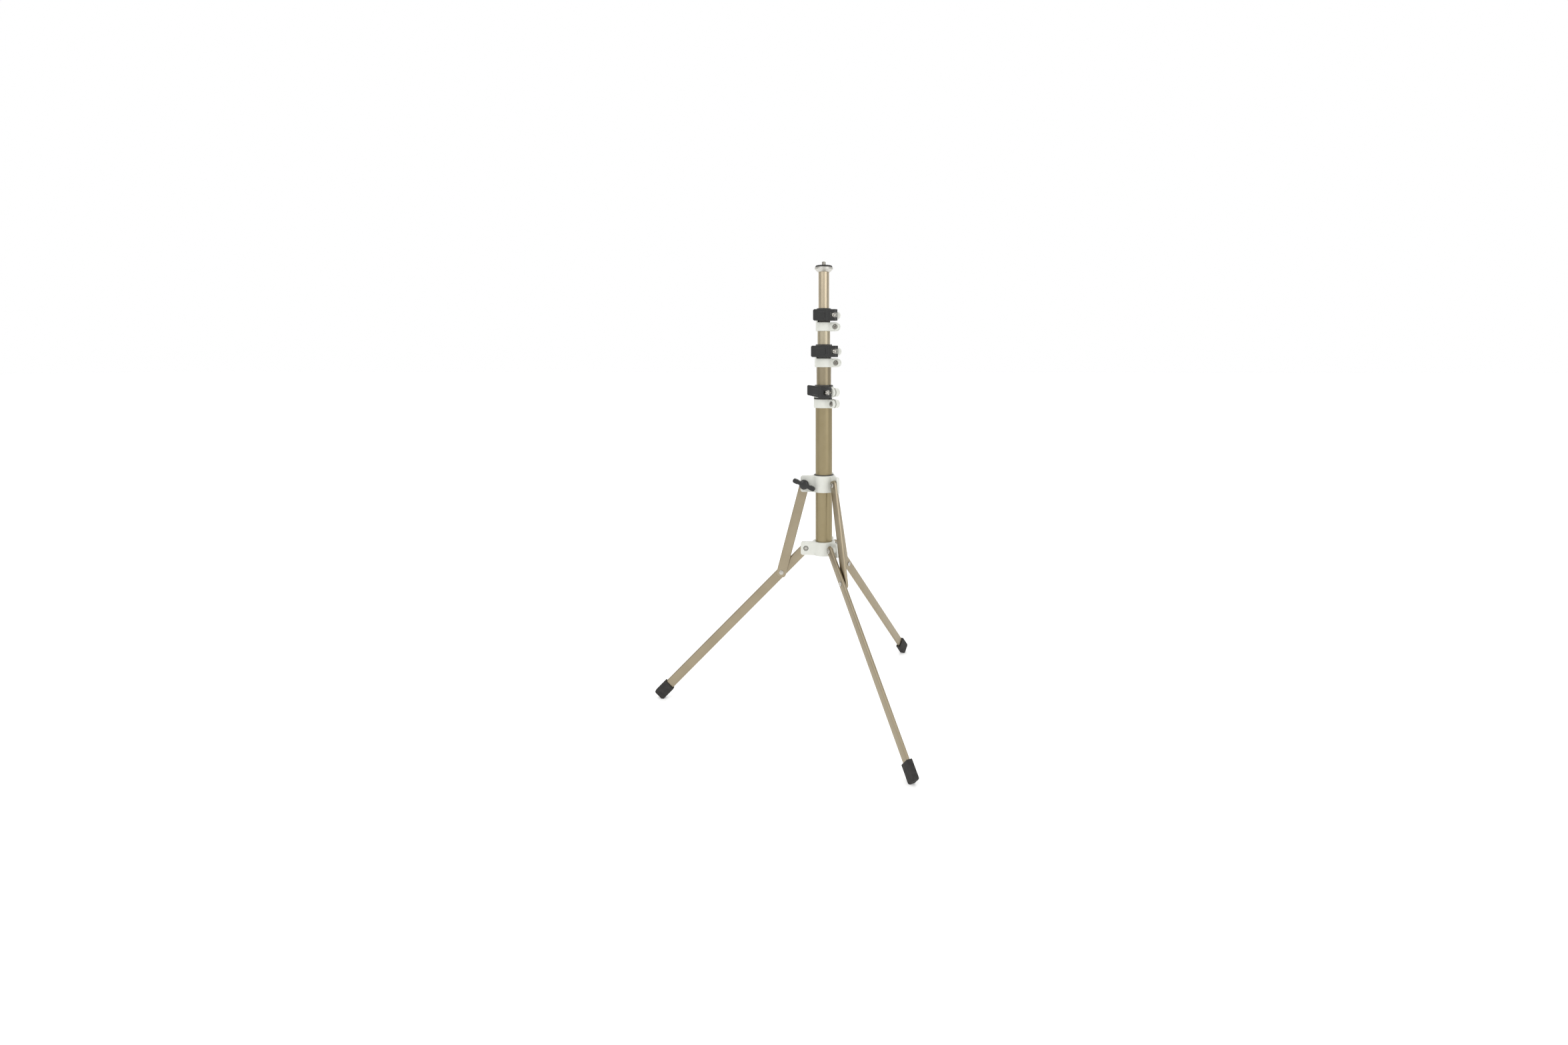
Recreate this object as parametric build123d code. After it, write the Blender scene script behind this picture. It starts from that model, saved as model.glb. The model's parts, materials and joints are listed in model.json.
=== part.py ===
from build123d import *
import os
from math import acos, atan2, cos, degrees, hypot, radians, sin, sqrt

# Folding stand for a small camera: a telescopic pole of four aluminium tubes, locked by three lever
# clamps, on three legs that swing up alongside the pole when the spreader collar is pushed up.
# Millimetres. While it is modelled, the pole stands on the Z axis and the floor is z = 0; at the end
# every piece is moved so that the origin is the bottom centre of the bounding box.

# ---------------------------------------------------------------- driving dimensions
# Pole
main_tube_radius = 12.5
section_2_radius = 11.0
section_3_radius = 9.5
section_4_radius = 8.0
tube_wall = 1.0
section_overlap = 45.0          # tube left inside the next one when a section is fully out
running_clearance = 0.05        # radial, between a sliding or turning piece and its bore
assembly_clearance = 0.02       # radial, between pieces that are assembled once
bottom_step = 4.0               # from one tube's lower end to the next one's, all sections in
guide_height = 10.0
guide_floor = 1.5
base_plug_height = 12.0
base_plug_flange = 2.0
base_plug_floor = 3.0
base_plug_bore = 5.0            # radius of the hollow in the plug

# Heights above the leg pivots
lower_clamp_rise = 209.6
middle_clamp_rise = 270.3
upper_clamp_rise = 324.3
top_plate_rise = 413.0

# Legs and braces
leg_azimuths = (180.0, 300.0, 60.0)
leg_spread_angle = 44.5         # from straight down, stand opened
leg_folded_angle = 4.5          # from straight up, stand folded
leg_length = 322.0              # pivot to the end of the rubber foot
leg_width = 14.2
leg_thickness = 4.5
leg_wall = 1.0
leg_edge_radius = 2.0
leg_pressed_length = 12.0       # solid stretch below the pivot
foot_width = 17.6
foot_thickness = 8.0
foot_height = 24.0
foot_floor = 4.0
foot_corner_radius = 2.8
foot_edge_radius = 1.0
foot_pad_depth = 0.8            # depth of the flat that meets the floor
brace_pivot_distance = 53.4     # along the leg, from the leg pivot
brace_length = 139.0            # pivot to pivot
brace_width = 14.5
brace_thickness = 4.0
brace_end = 7.0                 # from a pivot to the bar's end
brace_corner_radius = 5.0
brace_edge_radius = 1.0
layer_gap = 0.3                 # between leg, brace and lug, side by side on a pivot

# Hub and collar
hub_wall = 4.5
hub_height = 20.0
hub_pivot_offset = 9.2          # rim to pivot
hub_lug_reach = 7.8             # lug beyond its pivot
spacer_radius = 5.5
collar_wall = 3.0
collar_height = 24.5
collar_pivot_offset = 11.3
collar_lug_reach = 6.0
collar_bushing_wall = 1.5
collar_bushing_lip = 1.2
lug_thickness = 4.5
lug_tip_radius = 6.0
lug_blend_radius = 8.0
lug_root_radius = 1.2
rim_radius = 1.0
collar_lip_overhang = 0.6
joining_overlap = 0.5           # how far one solid starts inside the one that it is joined to

# Pivot fasteners
pivot_screw_radius = 2.0
screw_head_radius = 3.6
screw_head_height = 1.8
screw_head_gap = 0.1            # between a pivot screw's head and what turns under it
dome_share = 0.6                # of a screw head's height that is rounded
rivet_dome_share = 0.7
pivot_nut_flats = 6.0
pivot_nut_height = 2.2
nut_pocket_radius = 3.8
nut_pocket_depth = 2.8
rivet_head_radius = 3.4
rivet_head_height = 1.2

# Lever clamps
clamp_azimuths = (-44.0, -11.0, -9.0)    # ears: lower, middle, upper
clamp_wall = 2.7
ring_height = 13.0
ring_gap = 2.5
upper_ring_height = 16.0
ear_thickness = 4.0             # lever side
nut_ear_thickness = 6.5         # far side, with the nuts let into it
ear_gap = 2.4
ear_radius = 6.5
screw_seat_wall = 1.9           # ear left under the ring screw's head
nut_seat_depth = 3.2
ear_offset = 5.6                # ring to bolt axis
web_half_angle = 50.0           # the two rings are joined at the back over twice this angle
flange_wall = 1.4
flange_height = 2.8
flange_round_share = 0.35       # of the flange's height
bolt_radius = 2.0
bolt_head_radius = 3.2
bolt_head_height = 2.5
bolt_tip = 0.2                  # bolts end this far above their nuts, inside the ear
head_round_share = 0.3
seat_clearance = 0.9            # radial, round a head or a nut in its recess
clamp_nut_flats = 7.0
clamp_nut_height = 3.0
barrel_radius = 3.0
knuckle_radius = 5.2
cam_throw = 0.5
cam_gap = 0.3
barrel_end_gap = 0.3            # from the barrel's ends to the lever's faces
lever_height = 17.0
lever_lengths = (33.0, 35.0, 31.0)       # pin to tip
lever_thickness = 4.4
lever_tip_thickness = 3.2
lever_tip_length = 8.0          # stretch that is flared outwards
lever_tip_round = 1.2
lever_root = 7.2                # pin to the start of the handle's rise
lever_swell = 0.4               # handle's extra thickness before its tip
lever_ring_gap = 1.0
lever_flare = 1.6
lever_slot_clearance = 0.3      # above and below the bolt's head
lever_rises = ((4.5, 2.5), (0.0, 0.0), (0.0, 0.0))   # tip's lower and upper edge, above the root's
lever_opening = 115.0

# Wing knob
knob_boss_radius = 7.3
knob_span = 35.5
wing_width = 7.0
wing_thickness = 6.5
wing_blend_radius = 3.0
wing_edge_round = 1.2
knob_gap = 0.4
knob_neck_radius = 6.0
knob_neck_height = 5.4
knob_insert_radius = 3.6
lock_bolt_reach = 9.0           # into the knob
knob_insert_floor = 0.9         # insert beyond the bolt's end
knob_bore_floor = 1.0           # knob's bore beyond the bolt's end
knob_tilt = -24.0               # wing's slope, lower towards the pole

# Top plate and camera stud
plate_radius = 13.7
plate_seat_radius = 9.4         # small end of the cone under the plate
plate_cone_height = 4.0
plate_rim_height = 3.0
plate_edge_radius = 0.8
plate_socket_depth = 3.0        # top tube into the plate
pad_radius = 12.8
pad_height = 2.8
pad_edge_radius = 2.2
pad_clearance = 0.1
stud_radius = 3.175             # 1/4 inch thread
stud_height = 6.0               # above the pad
stud_shank_radius = 4.0         # in the plate and the plug
stud_tip_chamfer = 0.6
stud_neck_radius = 2.8          # plain neck through the pad
stud_neck_rise = 0.3            # neck left between the pad and the thread
stud_plug_height = 14.0
stud_plug_floor = 2.0

# ---------------------------------------------------------------- derived sizes
tube_radii = (main_tube_radius, section_2_radius, section_3_radius, section_4_radius)
spread = radians(leg_spread_angle)
corner_reach = foot_width / 2 - foot_corner_radius
leg_pivot_height = (
    (leg_length - foot_corner_radius) * cos(spread)
    + corner_reach * sin(spread)
    + foot_corner_radius
    - foot_pad_depth
)
hub_radius = main_tube_radius + hub_wall
hub_pivot_radius = hub_radius + hub_pivot_offset
hub_lug_tip = hub_pivot_radius + hub_lug_reach
collar_radius = main_tube_radius + collar_bushing_wall + collar_wall
collar_pivot_radius = collar_radius + collar_pivot_offset
collar_lug_tip = collar_pivot_radius + collar_lug_reach
joint_x = hub_pivot_radius + brace_pivot_distance * sin(spread)
joint_z = leg_pivot_height - brace_pivot_distance * cos(spread)
brace_run = joint_x - collar_pivot_radius
brace_angle = degrees(atan2(brace_run, sqrt(brace_length**2 - brace_run**2)))
collar_pivot_height = joint_z + sqrt(brace_length**2 - brace_run**2)

# Layers beside the radial plane of a leg, counted anticlockwise as seen from above
leg_layer = (-layer_gap / 2 - leg_thickness, -layer_gap / 2)
brace_layer = (layer_gap / 2, layer_gap / 2 + brace_thickness)
lug_layer = (brace_layer[1] + layer_gap, brace_layer[1] + layer_gap + lug_thickness)

knob_back = lug_layer[1] + knob_gap
knob_depth = knob_neck_height + wing_thickness

clamp_rises = (lower_clamp_rise, middle_clamp_rise, upper_clamp_rise)
clamp_heights = [leg_pivot_height + rise for rise in clamp_rises]
upper_ring_base = ring_height + ring_gap
clamp_top = upper_ring_base + upper_ring_height
bolt_height = upper_ring_base + upper_ring_height / 2
ear_face = ear_gap / 2 + ear_thickness
nut_face = ear_gap / 2 + nut_ear_thickness
screw_seat = ear_gap / 2 + screw_seat_wall
nut_seat = nut_face - nut_seat_depth
pin_offset = ear_face + cam_gap + knuckle_radius + cam_throw
plate_base = leg_pivot_height + top_plate_rise
pad_base = plate_base + plate_cone_height + plate_rim_height
thread_base = pad_base + pad_height + stud_neck_rise
hub_bottom = leg_pivot_height - hub_height / 2
plug_top = hub_bottom + base_plug_height
main_tube_bottom = hub_bottom + base_plug_flange
lever_slot_height = 2 * (bolt_head_radius + lever_slot_clearance)
lever_slot_radius = knuckle_radius + cam_throw + lever_slot_clearance


def clamp_ring_radius(index):
    """Outer radius of a clamp's rings."""
    return tube_radii[index] + clamp_wall


def clamp_bolt_radius(index):
    """Distance of a clamp's bolts from the pole's axis."""
    return clamp_ring_radius(index) + ear_offset


def section_top(index):
    """Upper end of a tube: inside its clamp's lower ring, or in the top plate's socket."""
    if index < 3:
        return clamp_heights[index] + ring_height
    return plate_base + plate_socket_depth


def section_travel_in(index):
    """How far a section can still slide in from the pose that is modelled."""
    outer_top = clamp_heights[index - 1] + clamp_top + flange_height
    seat = clamp_heights[index] if index < 3 else plate_base
    return seat - outer_top


def section_bottom(index):
    """Lower end of a section's tube, one step above the tube around it when all are slid in."""
    bottom = plug_top
    for inner in range(1, index + 1):
        bottom += bottom_step + section_travel_in(inner)
    return bottom


def section_travel_out(index):
    """How far a section can slide out of the tube around it."""
    return section_top(index - 1) - section_overlap - section_bottom(index)


# ---------------------------------------------------------------- building blocks
def disc(radius, low, high, x=0.0, y=0.0):
    """Cylinder along Z between two heights."""
    return Pos(x, y, (low + high) / 2) * Cylinder(radius, high - low)


def pipe(outer, inner, low, high):
    """Round tube along Z."""
    return disc(outer, low, high) - disc(inner, low - 1, high + 1)


def rod(radius, low, high, x=0.0, z=0.0):
    """Cylinder along Y between two places."""
    return Pos(x, (low + high) / 2, z) * Rot(90, 0, 0) * Cylinder(radius, high - low)


def nut(flats, bore, low, high, x=0.0, z=0.0):
    """Hexagon nut along Y."""
    blank = extrude(RegularPolygon(flats / 2, 6, major_radius=False), (high - low) / 2, both=True)
    placed = Pos(x, (low + high) / 2, z) * Rot(90, 0, 0) * blank
    return placed - rod(bore, low - 1, high + 1, x, z)


def upright(profile, low, high):
    """Extrude a profile, drawn as X across and Y up, between two places along Y."""
    solid = Rot(90, 0, 0) * extrude(profile, (high - low) / 2, both=True)
    return Pos(0, (low + high) / 2, 0) * solid


def screw(head_radius, head_height, shank_radius, seat, tip, x=0.0, z=0.0):
    """Screw along +Y: a domed head that stands on its seat, then a shank up to the tip."""
    head = rod(head_radius, seat - head_height, seat, x, z)
    rim = head.edges().filter_by(GeomType.CIRCLE).sort_by(Axis.Y)[0]
    head = fillet(rim, head_height * dome_share)
    return head + rod(shank_radius, seat - joining_overlap, tip, x, z)


def level_edges(solid, height):
    """Edges that lie wholly at one height."""
    return solid.edges().filter_by(lambda edge: abs(edge.bounding_box().min.Z - height) < 1e-4
                                   and abs(edge.bounding_box().max.Z - height) < 1e-4)


# ---------------------------------------------------------------- pole
def main_tube():
    """Outer tube of the pole, from the hub to the lowest clamp."""
    return pipe(main_tube_radius, main_tube_radius - tube_wall, main_tube_bottom, section_top(0))


def base_plug():
    """Plastic plug that closes the main tube's lower end."""
    flange = disc(main_tube_radius, hub_bottom, main_tube_bottom)
    core = disc(main_tube_radius - tube_wall - assembly_clearance, hub_bottom, plug_top)
    return flange + core - disc(base_plug_bore, hub_bottom + base_plug_floor, plug_top + 1)


def section_tube(index):
    """One of the three inner tubes."""
    outer = tube_radii[index]
    return pipe(outer, outer - tube_wall, section_bottom(index), section_top(index))


def section_guide(index):
    """Sleeve on an inner tube's lower end, which runs in the tube around it."""
    outer = tube_radii[index - 1] - tube_wall - running_clearance
    bottom = section_bottom(index)
    sleeve = pipe(outer, tube_radii[index] + assembly_clearance, bottom, bottom + guide_height)
    floor = pipe(outer, tube_radii[index] - tube_wall, bottom - guide_floor, bottom)
    return sleeve + floor


# ---------------------------------------------------------------- lever clamps
def clamp_place(index):
    """Place of a clamp: its ears point along local +X and its underside is local z = 0."""
    return Pos(0, 0, clamp_heights[index]) * Rot(0, 0, clamp_azimuths[index])


def clamp_band(index, low, high):
    """One ring of a clamp body with its pair of ears, not yet slit."""
    middle = (low + high) / 2
    bolt_x = clamp_bolt_radius(index)
    ring = disc(clamp_ring_radius(index), low, high)
    neck = Box(bolt_x, ear_face + nut_face, 2 * ear_radius)
    neck = Pos(bolt_x / 2, (nut_face - ear_face) / 2, middle) * neck
    return ring + neck + rod(ear_radius, -ear_face, nut_face, bolt_x, middle)


def clamp_body(index):
    """White clamp body: lower ring on the outer tube, upper ring on the bushing, joined at the back."""
    ring_radius = clamp_ring_radius(index)
    bolt_x = clamp_bolt_radius(index)
    body = clamp_band(index, 0, ring_height) + clamp_band(index, upper_ring_base, clamp_top)
    sector = Pos(-ring_radius, 0, upper_ring_base - ring_gap / 2)
    chord = 2 * ring_radius * sin(radians(web_half_angle))
    web_box = sector * Box(2 * ring_radius * (1 - cos(radians(web_half_angle))), chord, ring_gap + 2)
    web = disc(ring_radius, ring_height - 1, upper_ring_base + 1) & web_box
    body = body + web - disc(tube_radii[index], -1, clamp_top + 1)
    slit_length = bolt_x + ear_radius + 1
    body = body - Pos(slit_length / 2, 0, clamp_top / 2) * Box(slit_length, ear_gap, clamp_top + 2)
    nut_seat_radius = clamp_nut_flats / sqrt(3) + seat_clearance / 2
    for height in (ring_height / 2, bolt_height):
        body = body - rod(bolt_radius + assembly_clearance, -ear_face - 1, nut_face, bolt_x, height)
        body = body - rod(nut_seat_radius, nut_seat, nut_face + 1, bolt_x, height)
    body = body - rod(bolt_head_radius + seat_clearance, -ear_face - 1, -screw_seat, bolt_x, ring_height / 2)
    return clamp_place(index) * body


def clamp_bushing(index):
    """Dark split bushing between the upper ring and the sliding tube, with a flange on top."""
    bore = tube_radii[index + 1] + running_clearance
    sleeve = pipe(tube_radii[index], bore, ring_height, clamp_top)
    flange = pipe(tube_radii[index] + flange_wall, bore, clamp_top, clamp_top + flange_height)
    rim = flange.edges().filter_by(GeomType.CIRCLE).group_by(SortBy.RADIUS)[-1]
    flange = fillet(rim, flange_height * flange_round_share)
    slit = Pos(main_tube_radius, 0, clamp_top / 2) * Box(2 * main_tube_radius, ear_gap, 2 * clamp_top)
    return clamp_place(index) * (sleeve + flange - slit)


def cam_barrel(index):
    """Upright pin that the lever turns on; the cam bolt passes through it."""
    bolt_x = clamp_bolt_radius(index)
    half = lever_height / 2 - barrel_end_gap
    barrel = disc(barrel_radius, bolt_height - half, bolt_height + half, bolt_x, -pin_offset)
    seat = -pin_offset - barrel_radius / 2
    head_seat = rod(bolt_head_radius + assembly_clearance, seat - barrel_radius, seat, bolt_x, bolt_height)
    barrel = barrel - head_seat
    barrel = barrel - rod(bolt_radius + assembly_clearance, seat - 1, 0, bolt_x, bolt_height)
    return clamp_place(index) * barrel


def cam_bolt(index):
    """Bolt through the barrel and both upper ears, with its head in the lever's slot."""
    bolt_x = clamp_bolt_radius(index)
    seat = -pin_offset - barrel_radius / 2
    head = rod(bolt_head_radius, seat - bolt_head_height, seat, bolt_x, bolt_height)
    rim = head.edges().filter_by(GeomType.CIRCLE).sort_by(Axis.Y)[0]
    head = fillet(rim, bolt_head_height * head_round_share)
    tip = nut_seat + clamp_nut_height + bolt_tip
    shank = rod(bolt_radius, seat - joining_overlap, tip, bolt_x, bolt_height)
    return clamp_place(index) * (head + shank)


def ring_screw(index):
    """Screw through the lower ears, with its head in a round recess."""
    tip = nut_seat + clamp_nut_height + bolt_tip
    blank = screw(bolt_head_radius, screw_head_height, bolt_radius, -screw_seat, tip,
                  clamp_bolt_radius(index), ring_height / 2)
    return clamp_place(index) * blank


def clamp_nuts(index):
    """Nuts of the cam bolt and of the ring screw, let into the far ears."""
    bolt_x = clamp_bolt_radius(index)
    bore = bolt_radius + assembly_clearance
    nuts = [
        nut(clamp_nut_flats, bore, nut_seat, nut_seat + clamp_nut_height, bolt_x, height)
        for height in (ring_height / 2, bolt_height)
    ]
    return clamp_place(index) * Compound(children=nuts)


def lever_heading(index):
    """Direction of a closed lever, tangent to its ring, in the clamp's own frame."""
    bolt_x = clamp_bolt_radius(index)
    pin_distance = hypot(bolt_x, pin_offset)
    line_distance = clamp_ring_radius(index) + lever_ring_gap + lever_thickness / 2
    tangent_azimuth = degrees(atan2(-pin_offset, bolt_x)) - degrees(acos(line_distance / pin_distance))
    return tangent_azimuth - 90.0


def lever(index):
    """Black cam lever: two knuckles on the barrel pin, and a flat handle along the ring."""
    heading = lever_heading(index)
    length = lever_lengths[index]
    half = lever_thickness / 2
    throw = radians(-90.0 - heading)
    knuckle = Pos(-cam_throw * cos(throw), -cam_throw * sin(throw)) * Circle(knuckle_radius)
    handle = Polygon(
        (0, -half),
        (length - lever_tip_length, -half),
        (length, lever_flare - half),
        (length, lever_flare - half + lever_tip_thickness),
        (length - lever_tip_length, half + lever_swell),
        (0, knuckle_radius - cam_throw),
        align=None,
    )
    low_rise, high_rise = lever_rises[index]
    tall = lever_height / 2 + max(high_rise, 0)
    plan = extrude(knuckle + handle, tall, both=True)
    side = Polygon(
        (-2 * knuckle_radius, -lever_height / 2),
        (lever_root, -lever_height / 2),
        (length + 1, low_rise - lever_height / 2),
        (length + 1, high_rise + lever_height / 2),
        (lever_root, lever_height / 2),
        (-2 * knuckle_radius, lever_height / 2),
        align=None,
    )
    body = plan & upright(side, -lever_height, lever_height)
    tip_edges = body.edges().filter_by(lambda edge: edge.center().X > length - 0.01)
    body = fillet(tip_edges, lever_tip_round)
    body = body - disc(barrel_radius + running_clearance, -lever_height, lever_height)
    body = body - disc(lever_slot_radius, -lever_slot_height / 2, lever_slot_height / 2)
    pin = Pos(clamp_bolt_radius(index), -pin_offset, bolt_height)
    return clamp_place(index) * pin * Rot(0, 0, heading) * body


# ---------------------------------------------------------------- hub and collar
def lug_place(number, height):
    """Frame of one leg: local +X is radial and local +Y anticlockwise, at a height."""
    return Pos(0, 0, height) * Rot(0, 0, leg_azimuths[number])


def lugged_ring(radius, height, lug_tip):
    """Ring with three lugs that run out beside the legs' planes, before it is bored."""
    body = Cylinder(radius, height)
    lug_middle = (lug_layer[0] + lug_layer[1]) / 2
    for azimuth in leg_azimuths:
        lug = Pos(lug_tip / 2, lug_middle, 0) * Box(lug_tip, lug_thickness, height)
        tip = lug.edges().filter_by(Axis.Y).sort_by(Axis.X)[-2:]
        body = body + Rot(0, 0, azimuth) * fillet(tip, lug_tip_radius)
    for side, blend in ((lug_layer[1], lug_blend_radius), (lug_layer[0], lug_root_radius)):
        for azimuth in leg_azimuths:
            corner = Rot(0, 0, azimuth) * Pos(sqrt(radius**2 - side**2), side, 0)
            edge = body.edges().filter_by(Axis.Z).sort_by_distance(corner.position)[0]
            body = fillet(edge, blend)
    rims = level_edges(body, height / 2) + level_edges(body, -height / 2)
    return fillet(rims, rim_radius)


def leg_hub():
    """White hub on the main tube's lower end; each lug carries a leg on a spacer boss."""
    body = lugged_ring(hub_radius, hub_height, hub_lug_tip)
    boss = rod(spacer_radius, layer_gap / 2, lug_layer[0] + joining_overlap, hub_pivot_radius)
    hole = rod(pivot_screw_radius + assembly_clearance, -1, lug_layer[1] + 1, hub_pivot_radius)
    pocket_floor = lug_layer[1] - nut_pocket_depth
    pocket = rod(nut_pocket_radius, pocket_floor, lug_layer[1] + 1, hub_pivot_radius)
    for azimuth in leg_azimuths:
        body = body + Rot(0, 0, azimuth) * boss
        body = body - Rot(0, 0, azimuth) * (hole + pocket)
    body = body - Cylinder(main_tube_radius, 2 * hub_height)
    return Pos(0, 0, leg_pivot_height) * body


def spreader_collar():
    """White collar that slides on the main tube and carries the braces."""
    body = lugged_ring(collar_radius, collar_height, collar_lug_tip)
    hole = rod(pivot_screw_radius + assembly_clearance, 0, lug_layer[1] + 1, collar_pivot_radius)
    pocket_floor = lug_layer[1] - nut_pocket_depth
    pocket = rod(nut_pocket_radius, pocket_floor, lug_layer[1] + 1, collar_pivot_radius)
    for number, azimuth in enumerate(leg_azimuths):
        body = body - Rot(0, 0, azimuth) * (hole if number == 0 else hole + pocket)
    body = body - Cylinder(main_tube_radius + collar_bushing_wall, 2 * collar_height)
    return Pos(0, 0, collar_pivot_height) * body


def collar_bushing():
    """Dark sleeve in the collar, with a lip that shows above it."""
    outer = main_tube_radius + collar_bushing_wall
    half = collar_height / 2
    bore = main_tube_radius + running_clearance
    sleeve = pipe(outer, bore, -half, half)
    lip = pipe(outer + collar_lip_overhang, bore, half, half + collar_bushing_lip)
    return Pos(0, 0, collar_pivot_height) * (sleeve + lip)


def pivot_screw(face, tip, radius):
    """Pivot screw along +Y whose head stands just clear of a face."""
    return screw(screw_head_radius, screw_head_height, pivot_screw_radius, face - screw_head_gap, tip, radius)


def leg_pivot_screws():
    """The three screws that the legs turn on."""
    tip = lug_layer[1] - nut_pocket_depth + pivot_nut_height
    blank = pivot_screw(leg_layer[0], tip, hub_pivot_radius)
    return Compound(children=[lug_place(number, leg_pivot_height) * blank for number in range(3)])


def pivot_nuts(radius, height, numbers):
    """Nuts in the lugs' pockets."""
    floor = lug_layer[1] - nut_pocket_depth
    bore = pivot_screw_radius + assembly_clearance
    blank = nut(pivot_nut_flats, bore, floor, floor + pivot_nut_height, radius)
    return Compound(children=[lug_place(number, height) * blank for number in numbers])


def brace_pivot_screws():
    """The two plain screws that braces 2 and 3 turn on."""
    tip = lug_layer[1] - nut_pocket_depth + pivot_nut_height
    blank = pivot_screw(brace_layer[0], tip, collar_pivot_radius)
    return Compound(children=[lug_place(number, collar_pivot_height) * blank for number in (1, 2)])


def lock_bolt():
    """Bolt that brace 1 turns on; the wing knob runs on its end."""
    blank = pivot_screw(brace_layer[0], knob_back + lock_bolt_reach, collar_pivot_radius)
    return lug_place(0, collar_pivot_height) * blank


# ---------------------------------------------------------------- wing knob
def lock_knob():
    """Black wing knob; it draws the lug and brace 1 together."""
    wings = SlotOverall(knob_span, wing_width) + Circle(knob_boss_radius)
    inner = wings.vertices().sort_by(lambda vertex: hypot(vertex.X, vertex.Y))
    corners = [vertex for vertex in inner if abs(hypot(vertex.X, vertex.Y) - knob_boss_radius) < 1e-3]
    wings = fillet(corners, wing_blend_radius)
    knob = upright(wings, knob_back + knob_neck_height, knob_back + knob_depth)
    front = knob.edges().filter_by(lambda edge: edge.bounding_box().min.Y > knob_back + knob_depth - 1e-4)
    knob = fillet(front, wing_edge_round)
    knob = knob + rod(knob_neck_radius, knob_back, knob_back + knob_neck_height + joining_overlap)
    knob = knob - rod(knob_insert_radius, knob_back - 1, knob_back + lock_bolt_reach + knob_bore_floor)
    turned = Pos(collar_pivot_radius, 0, 0) * Rot(0, knob_tilt, 0) * knob
    return lug_place(0, collar_pivot_height) * turned


def knob_insert():
    """Threaded metal insert in the knob."""
    low = knob_back
    high = knob_back + lock_bolt_reach + knob_insert_floor
    blank = rod(knob_insert_radius - assembly_clearance, low, high, collar_pivot_radius)
    blank = blank - rod(pivot_screw_radius + running_clearance, low - 1, high + 1, collar_pivot_radius)
    return lug_place(0, collar_pivot_height) * blank


# ---------------------------------------------------------------- legs and braces
def leg_place(number):
    """Frame of an opened leg: origin on its pivot, the leg along local -Z."""
    return lug_place(number, leg_pivot_height) * Pos(hub_pivot_radius, 0, 0) * Rot(0, -leg_spread_angle, 0)


def brace_place(number):
    """Frame of a brace: origin on its upper pivot, the brace along local -Z."""
    return lug_place(number, collar_pivot_height) * Pos(collar_pivot_radius, 0, 0) * Rot(0, -brace_angle, 0)


def leg_blank(grow=0.0):
    """Flattened tube before it is hollowed, grown all round by a clearance."""
    width = leg_width + 2 * grow
    length = leg_length - foot_floor
    profile = Pos(0, -length / 2) * Rectangle(width, length) + Circle(width / 2)
    blank = upright(profile, leg_layer[0] - grow, leg_layer[1] + grow)
    sides = blank.faces().filter_by(Axis.Y)
    return fillet(sides.edges(), min(leg_edge_radius, 0.45 * leg_thickness))


def leg_tube(number):
    """One leg: a flattened aluminium tube, pressed solid around its pivot."""
    inside_width = leg_width - 2 * leg_wall
    inside_length = leg_length - leg_pressed_length
    inside = Box(inside_width, leg_thickness - 2 * leg_wall, inside_length)
    middle = (leg_layer[0] + leg_layer[1]) / 2
    leg = leg_blank() - Pos(0, middle, -leg_pressed_length - inside_length / 2) * inside
    leg = leg - rod(pivot_screw_radius + running_clearance, leg_layer[0] - 1, leg_layer[1] + 1)
    rivet_hole = rod(pivot_screw_radius + assembly_clearance, leg_layer[0] - 1, leg_layer[1] + 1,
                     0, -brace_pivot_distance)
    return leg_place(number) * (leg - rivet_hole)


def foot_cap(number):
    """Rubber cap on a leg's end, with a small flat where it meets the floor."""
    profile = Pos(0, foot_height / 2 - leg_length) * Rectangle(foot_width, foot_height)
    lower = profile.vertices().sort_by(Axis.Y)[:2]
    profile = fillet(lower, foot_corner_radius)
    middle = (leg_layer[0] + leg_layer[1]) / 2
    cap = upright(profile, middle - foot_thickness / 2, middle + foot_thickness / 2)
    cap = fillet(cap.faces().filter_by(Axis.Y).edges(), foot_edge_radius)
    cap = leg_place(number) * (cap - leg_blank(assembly_clearance))
    floor_block = Pos(0, 0, -50) * Box(4 * leg_length, 4 * leg_length, 100)
    return cap - floor_block


def leg_rivet(number):
    """Half of the brace's rivet that stays in the leg; its head is on the leg's outer side."""
    head_low = leg_layer[0] - rivet_head_height
    head = rod(rivet_head_radius, head_low, leg_layer[0], 0, -brace_pivot_distance)
    rim = head.edges().filter_by(GeomType.CIRCLE).sort_by(Axis.Y)[0]
    head = fillet(rim, rivet_head_height * rivet_dome_share)
    shank = rod(pivot_screw_radius, leg_layer[0] - joining_overlap, leg_layer[1], 0, -brace_pivot_distance)
    return leg_place(number) * (head + shank)


def brace_bar(number):
    """One brace: a flat bar with rounded ends."""
    length = brace_length + 2 * brace_end
    profile = Pos(0, -brace_length / 2) * RectangleRounded(brace_width, length, brace_corner_radius)
    bar = upright(profile, brace_layer[0], brace_layer[1])
    bar = fillet(bar.faces().filter_by(Axis.Y).edges(), brace_edge_radius)
    bar = bar - rod(pivot_screw_radius + running_clearance, -1, brace_layer[1] + 1)
    bar = bar - rod(pivot_screw_radius + assembly_clearance, -1, brace_layer[1] + 1, 0, -brace_length)
    return brace_place(number) * bar


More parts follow.
